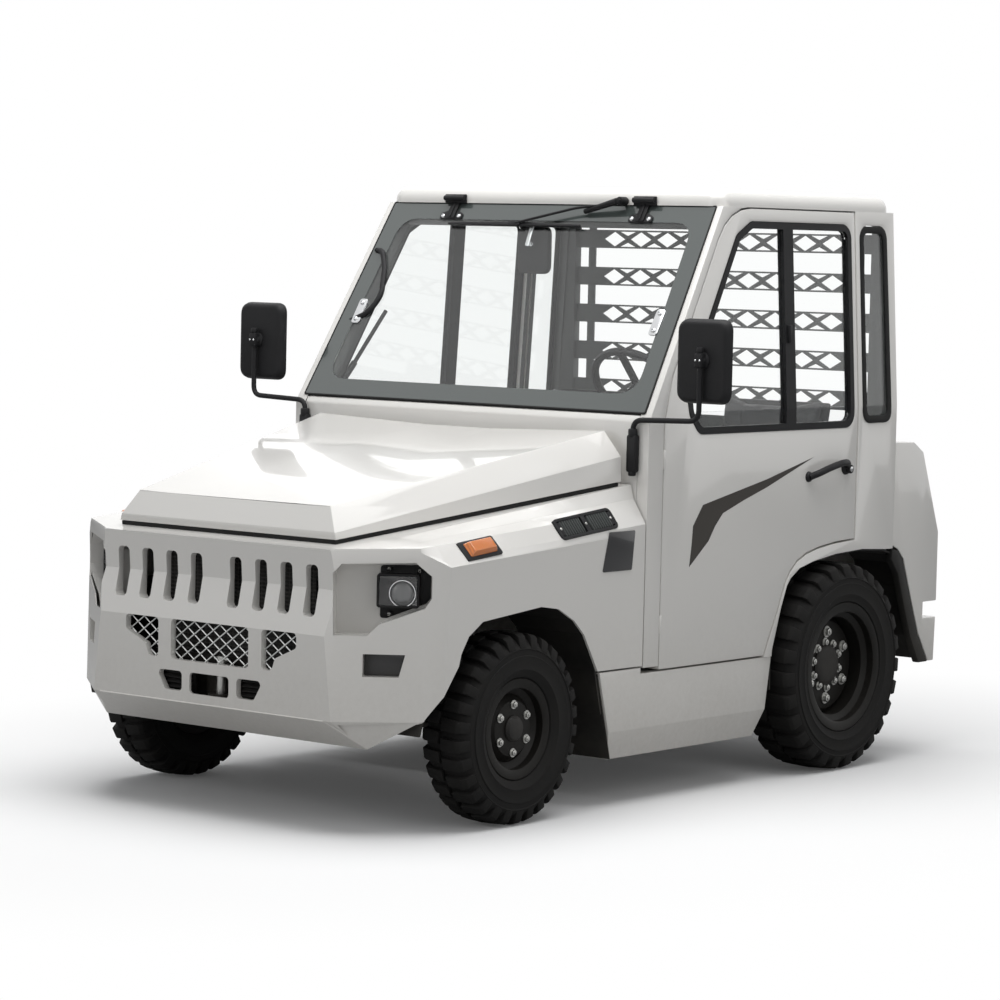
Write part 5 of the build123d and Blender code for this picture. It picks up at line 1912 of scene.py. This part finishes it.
@dataclass
class Tail:
    """Rear lamps, hitch pins, blank plates, rear fenders and the flaps at the sills' ends."""

    groove_y: float = 1.307
    level: float = 0.504
    pin_stations: tuple[float, float] = (1.461, -1.453)
    pin_seat: float = 0.404 + 0.031 + 0.022
    flap_place: Point = (0.6165, -0.5120, 0.2915)
    flap_size: Point = (0.2330, 0.004, 0.2812)
    flap_turn: Point = (0.2659, 0, 0)

    def build(self, bench: Bench) -> None:
        """Builds the tail's fittings."""
        wall = Plane(Vector((0, self.groove_y, self.level)), Vector((-1, 0, 0)), Vector((0, 0, 1)))
        case = bench.plate(wall, rounded(rectangle(0.168, 0.047, -0.623), 0.006), 0.0005, 0.020, 0.0015)
        bench.place(bench.pair(case), "rear_lamp_cases", "chassis", Finish.TRIM, "black_plastic")
        lenses = (
            (0.086, -0.5865, Finish.RED, "red_lens", ["rear_lamps"]),
            (0.034, -0.651, Finish.AMBER, "amber_lens", []),
            (0.034, -0.688, Finish.CLEAR, "black_plastic", []),
        )
        for width, u, finish, slot, swap in lenses:
            lens = bench.plate(wall, rounded(rectangle(width, 0.038, u), 0.004), 0.019, 0.034, 0.003, 3)
            bench.place(bench.pair(lens), f"rear_lens_{finish.name.lower()}", "chassis", finish, slot, swap)
        self.pins(bench)
        plate = bench.plate(
            FLANK, rounded([(-0.551, 0.743), (-0.402, 0.743), (-0.388, 0.866), (-0.520, 0.866)], 0.006),
            0.0012, 0.0030, 0.0006,
        )
        bench.place(bench.pair(plate), "blank_plates", "chassis", Finish.PLATE, "black_plastic")
        fender = bench.plate(
            FLANK,
            [
                (1.098, 0.728), (1.137, 0.722), (1.172, 0.686), (1.238, 0.524), (1.281, 0.422),
                (1.349, 0.320), (1.290, 0.320), (1.232, 0.415), (1.196, 0.500), (1.140, 0.640),
                (1.098, 0.690),
            ],
            -0.030, -0.0035, 0.004,
        )
        bench.place(bench.pair(fender), "rear_fenders", "chassis", Finish.LINER, "black_rubber")
        flap = bench.block(self.flap_place, self.flap_size, 0.001, self.flap_turn)
        bench.place(bench.pair(flap), "sill_ends", "chassis", Finish.LINER, "black_rubber")

    def pins(self, bench: Bench) -> None:
        """Tow pins with a collar and a cross handle."""
        parts = []
        for y in self.pin_stations:
            top = self.pin_seat
            parts.append(bench.rod((0, y, 0.345), (0, y, top + 0.030), 0.0155, 0.003, 32))
            parts.append(bench.rod((0, y, top + 0.0005), (0, y, top + 0.006), 0.024, 0.002, 32))
            parts.append(bench.rod((-0.030, y, top + 0.020), (0.030, y, top + 0.020), 0.0055, 0.002, 16))
        bench.place(bench.join(*parts), "hitch_pins", "chassis", Finish.ZINC, "bright_steel")


# Chin, seats and cabin


def facet_plate(bench: Bench, corners: Sequence[Point], thickness: float) -> bpy.types.Object:
    """Three-cornered plate whose outer face runs through three points.

    Args:
        bench: The workbench.
        corners: The three corners, anticlockwise seen from outside.
        thickness: The plate's thickness, inward.

    Returns:
        The plate.
    """
    a, b, c = (Vector(corner) for corner in corners)
    along = (b - a).normalized()
    out = along.cross(c - a).normalized()
    up = out.cross(along)
    points = [(0.0, 0.0), ((b - a).length, 0.0), ((c - a).dot(along), (c - a).dot(up))]
    return bench.plate(Plane(a, along, up), points, -thickness, 0.0)


@dataclass
class Chin:
    """Bevel across the nose's lower edge and a corner panel at each of its ends."""

    fold: Point = (0.461, -1.5105, 0.340)
    corner: Point = (0.691, -1.342, 0.345)
    tip: Point = (0.540, -1.400, 0.2555)

    def build(self, bench: Bench) -> None:
        """Builds the bevel and both corners."""
        corner = bench.pair(facet_plate(bench, (self.fold, self.tip, self.corner), 0.005))
        fold, tip = Vector(self.fold), Vector(self.tip)
        back = Vector((0, tip.y - fold.y, tip.z - fold.z))
        bevel = bench.plate(
            Plane(Vector((0, fold.y, fold.z)), Vector((-1, 0, 0)), back.normalized()),
            [(-fold.x, 0), (fold.x, 0), (tip.x, back.length), (-tip.x, back.length),], -0.005, 0.0,
        )
        bench.place(bench.join(corner, bevel), "chin_panel", "chassis", Finish.BODY, "body_paint")


@dataclass
class Seats:
    """Padded seat cushions and backs on their bases."""

    x: float = 0.380
    voxel: float = 0.006
    pressure: float = 4.0
    cap: float = 0.022
    channel: float = 0.105
    channel_depth: float = 0.006
    channel_width: float = 0.006
    cross_seams: tuple[float, ...] = (-0.085, 0.0, 0.085)
    cross_depth: float = 0.003
    rise: float = 0.014
    spread: float = 0.016

    def build(self, bench: Bench) -> None:
        """Builds both seats."""
        cushion = self.pad(bench, (self.x, 0.583, 0.8875), (0.420, 0.330, 0.058), (0, 0, 0))
        back = self.pad(bench, (self.x, 0.846, 1.105), (0.410, 0.036, 0.260), (-0.216, 0, 0))
        for piece, name in ((cushion, "cushion"), (back, "backrest")):
            for side in (Side.RIGHT, Side.LEFT):
                made = piece if side is Side.LEFT else bench.mirrored(piece)
                swap = ["seats"] if side is Side.LEFT and name == "cushion" else []
                bench.place(made, f"seat_{name}_{side.word}", "chassis", Finish.VINYL, "seat_vinyl", swap)
        shells = []
        for x in (-self.x, self.x):
            shells.append(bench.block((x, 0.585, 0.845), (0.440, 0.350, 0.028), 0.012))
            shells.append(bench.block((x, 0.880, 1.085), (0.420, 0.018, 0.290), 0.008, (-0.216, 0, 0)))
            for end in (-1, 1):
                shells.append(bench.pipe(
                    [
                        (x + end * 0.160, 0.700, 0.842), (x + end * 0.160, 0.830, 0.858),
                        (x + end * 0.160, 0.872, 1.020),
                    ],
                    0.011, 0.05,
                ))
        bench.place(bench.join(*shells), "seat_shells", "chassis", Finish.PLASTIC, "black_plastic")

    def pad(self, bench: Bench, centre: Point, size: Point, turn: Point) -> bpy.types.Object:
        """One pad blown up by a short cloth simulation, with sewn channels and cross seams.

        Args:
            bench: The workbench.
            centre: Its centre.
            size: Its size before it swells.
            turn: Its turn.

        Returns:
            The pad.
        """
        pad = bench.block(centre, size, 0.014, turn, 3)
        bench.pick(pad)
        remesh = pad.modifiers.new("remesh", "REMESH")
        remesh.mode = "VOXEL"
        remesh.voxel_size = self.voxel
        bpy.ops.object.modifier_apply(modifier=remesh.name)
        start = [vertex.co.copy() for vertex in pad.data.vertices]
        cloth = pad.modifiers.new("cloth", "CLOTH")
        cloth.settings.use_pressure = True
        cloth.settings.uniform_pressure_force = self.pressure
        cloth.settings.effector_weights.gravity = 0.0
        cloth.settings.quality = 5
        scene = bpy.context.scene
        for frame in range(1, 21):
            scene.frame_set(frame)
        bpy.ops.object.modifier_apply(modifier=cloth.name)
        scene.frame_set(1)
        spin = Matrix.Rotation(turn[0], 3, "X")
        thin = 1 if size[1] < size[2] else 2
        limit = size[thin] / 2 + self.rise
        low, high = (-limit + 0.008, limit) if thin == 2 else (-limit, limit - 0.004)
        for vertex, rest in zip(pad.data.vertices, start):
            step = vertex.co - rest
            if step.length > self.cap:
                step *= self.cap / step.length
            local = spin.transposed() @ (rest + step - Vector(centre))
            local[thin] = max(low, min(high, local[thin]))
            for axis in (0, 1, 2):
                if axis != thin:
                    edge = size[axis] / 2 + self.spread
                    local[axis] = max(-edge, min(edge, local[axis]))
            groove = 0.0
            for at in (-self.channel, self.channel):
                groove += self.channel_depth * math.exp(-(((local.x - at) / self.channel_width) ** 2))
            for at in self.cross_seams:
                seam = self.cross_depth * math.exp(-(((local[3 - thin] - at) / self.channel_width) ** 2))
                groove += seam * (abs(local.x) < self.channel)
            side = 1 if thin == 2 else -1
            if local[thin] * side > size[thin] * 0.3:
                local[thin] -= side * groove
            vertex.co = spin @ local + Vector(centre)
        smooth = pad.modifiers.new("smooth", "SMOOTH")
        smooth.iterations = 2
        bpy.ops.object.modifier_apply(modifier=smooth.name)
        divide = pad.modifiers.new("divide", "SUBSURF")
        divide.levels = divide.render_levels = 1
        bpy.ops.object.modifier_apply(modifier=divide.name)
        return pad


@dataclass
class Cabin:
    """Instruments, levers, pedals, mat, grab handle and inner mirror."""

    driver: float = 0.380
    mirror: Point = (-0.105, 0.150, 1.725)

    def build(self, bench: Bench) -> None:
        """Builds the cabin's fittings."""
        x = self.driver
        dash = bench.skin("dashboard", 0.014, 4)
        bench.place(dash, "dashboard_shell", "chassis", Finish.PLASTIC, "black_plastic", ["dashboard"])
        hood = bench.block((x, -0.150, 1.188), (0.300, 0.150, 0.034), 0.014, (-0.12, 0, 0), 4)
        boot = bench.spun(
            [(0, 0.0003), (0, 0.060), (0.016, 0.052), (0.045, 0.036), (0.052, 0.027), (0.053, 0.0003)],
            (x, -0.058, 1.120), (0, 0.743, 0.669), 32,
        )
        pod = bench.block((-0.10, -0.120, 1.185), (0.220, 0.090, 0.022), 0.006, (-0.10, 0, 0))
        rail = bench.block((0, -0.262, 1.192), (1.300, 0.050, 0.020), 0.006)
        bench.place(bench.join(hood, boot, pod, rail), "dash_hood", "chassis", Finish.TRIM, "black_plastic")
        face = Plane(Vector((x, -0.074, 1.186)), Vector((1, 0, 0)), Vector((0, 0.25, 0.968)))
        dials = [
            bench.spun(
                [(0, 0.0003), (0, r), (0.003, r), (0.004, r - 0.003), (0.0015, r - 0.004), (0.0015, 0.0003)],
                face.at(u, 0.0), face.out * -1, 32,
            )
            for u, r in ((-0.095, 0.012), (-0.058, 0.012), (0.0, 0.015), (0.058, 0.012), (0.095, 0.012))
        ]
        bench.place(bench.join(*dials), "dash_dials", "chassis", Finish.CHROME, "bright_steel")
        stalks = [
            bench.pipe(
                [(x + s * 0.020, 0.060, 1.225), (x + s * 0.085, 0.075, 1.240), (x + s * 0.150, 0.100, 1.262)],
                0.006, 0.03,
            )
            for s in (-1, 1)
        ]
        lever = bench.pipe([(0.10, 0.180, 0.474), (0.10, 0.170, 0.700), (0.112, 0.150, 0.860)], 0.009, 0.08)
        knob = bench.spun(
            [(0, 0.0003), (0, 0.014), (0.016, 0.022), (0.034, 0.022), (0.046, 0.012), (0.048, 0.0003)],
            (0.112, 0.150, 0.852), (0.05, -0.12, 1), 24,
        )
        sleeve = bench.spun(
            [(0, 0.0003), (0, 0.052), (0.012, 0.046), (0.022, 0.030), (0.060, 0.016), (0.061, 0.0003)],
            (0.10, 0.180, 0.4745), (0, 0, 1), 32,
        )
        pedals = []
        for at in (0.290, 0.440):
            pedals.append(bench.block((at, -0.155, 0.615), (0.078, 0.012, 0.062), 0.004, (0.75, 0, 0)))
            pedals.append(bench.pipe(
                [(at, -0.160, 0.612), (at, -0.235, 0.660), (at, -0.262, 0.760)], 0.007, 0.04
            ))
        bench.place(
            bench.join(*stalks, lever, knob, sleeve, *pedals), "cab_levers", "chassis", Finish.PLASTIC,
            "black_plastic",
        )
        mat = bench.block((0, 0.040, 0.4755), (1.300, 0.560, 0.004), 0.0015)
        ribs = [bench.block((0, -0.210 + i * 0.025, 0.478), (1.260, 0.006, 0.003), 0.001) for i in range(21)]
        bench.place(bench.join(mat, *ribs), "floor_mat", "chassis", Finish.MAT, "black_rubber")
        grab = bench.pipe(
            [
                (-0.668, -0.012, 1.712), (-0.640, -0.016, 1.716), (-0.600, -0.048, 1.655),
                (-0.560, -0.110, 1.560), (-0.585, -0.150, 1.500), (-0.668, -0.150, 1.470),
            ],
            0.010, 0.03,
        )
        bench.place(grab, "grab_handle", "chassis", Finish.PLASTIC, "black_plastic")
        mx, my, mz = self.mirror
        glass = Plane(Vector((mx, my, mz)), Vector((1, 0, 0)), Vector((0, 0, 1)))
        head = bench.plate(glass, rounded(rectangle(0.130, 0.160), 0.030, 8), -0.012, 0.012, 0.006, 3)
        bench.place(head, "inner_mirror", "chassis", Finish.TRIM, "black_plastic")
        stem = bench.block(
            (mx + 0.012, my - 0.030, mz + 0.085), (0.016, 0.005, 0.150), 0.002, (-0.20, 0.16, 0)
        )
        knuckle = bench.rod(
            (mx + 0.004, my - 0.030, mz + 0.020), (mx + 0.004, my - 0.006, mz + 0.020), 0.009, 0.002
        )
        bench.place(bench.join(stem, knuckle), "mirror_stem", "chassis", Finish.CHROME, "bright_steel")
        struts = []
        for end in (-1, 1):
            struts.append(bench.rod(
                (end * 0.640, 0.010, 1.505), (end * 0.655, -0.130, 1.330), 0.007, 0.001, 20
            ))
            struts.append(bench.rod(
                (end * 0.655, -0.130, 1.330), (end * 0.664, -0.205, 1.240), 0.011, 0.002, 20
            ))
        bench.place(bench.join(*struts), "screen_struts", "chassis", Finish.TRIM, "black_plastic")


def wheels() -> list[Wheel]:
    """The front and rear wheels."""
    return [
        Wheel(
            end="front", y=FRONT_AXLE_Y, x=0.664, radius=0.292, width=0.168, rim_half=0.066, flange_r=0.152,
            bead_r=0.13, disc_x=0.034, hub_r=0.052, lugs=30, nuts=6, nut_circle=0.073, nut_size=0.024,
        ),
        Wheel(
            end="rear", y=REAR_AXLE_Y, x=0.681, radius=0.35, width=0.205, rim_half=0.09, flange_r=0.216,
            bead_r=0.192, disc_x=0.004, hub_r=0.092, lugs=27, nuts=6, nut_circle=0.1125, nut_size=0.034,
            inner_bolts=10, inner_circle=0.078,
        ),
    ]


def main() -> tuple[Vector, Vector]:
    """Builds the whole scene.

    Returns:
        The CAD model's lowest and highest corner.
    """
    logging.basicConfig(level=logging.INFO, format="%(message)s")
    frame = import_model()
    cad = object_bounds()
    bpy.context.scene.view_settings.view_transform = "Standard"
    library = Library()
    bench = Bench(frame, library)
    bench.clear()
    Studio().build(library)
    PlainNodes().build(bench)
    Bodywork().build(bench)
    for wheel in wheels():
        wheel.build(bench)
    outside = (Nose(), Shoulder(), Windscreen(), Mirrors(), Doors(), RearGuard(), Tail(), Chin())
    for group in (*outside, Seats(), Cabin()):
        group.build(bench)
    LOG.info("%d pieces", bench.count)
    return cad


if __name__ == "__main__":
    cad_box = main()
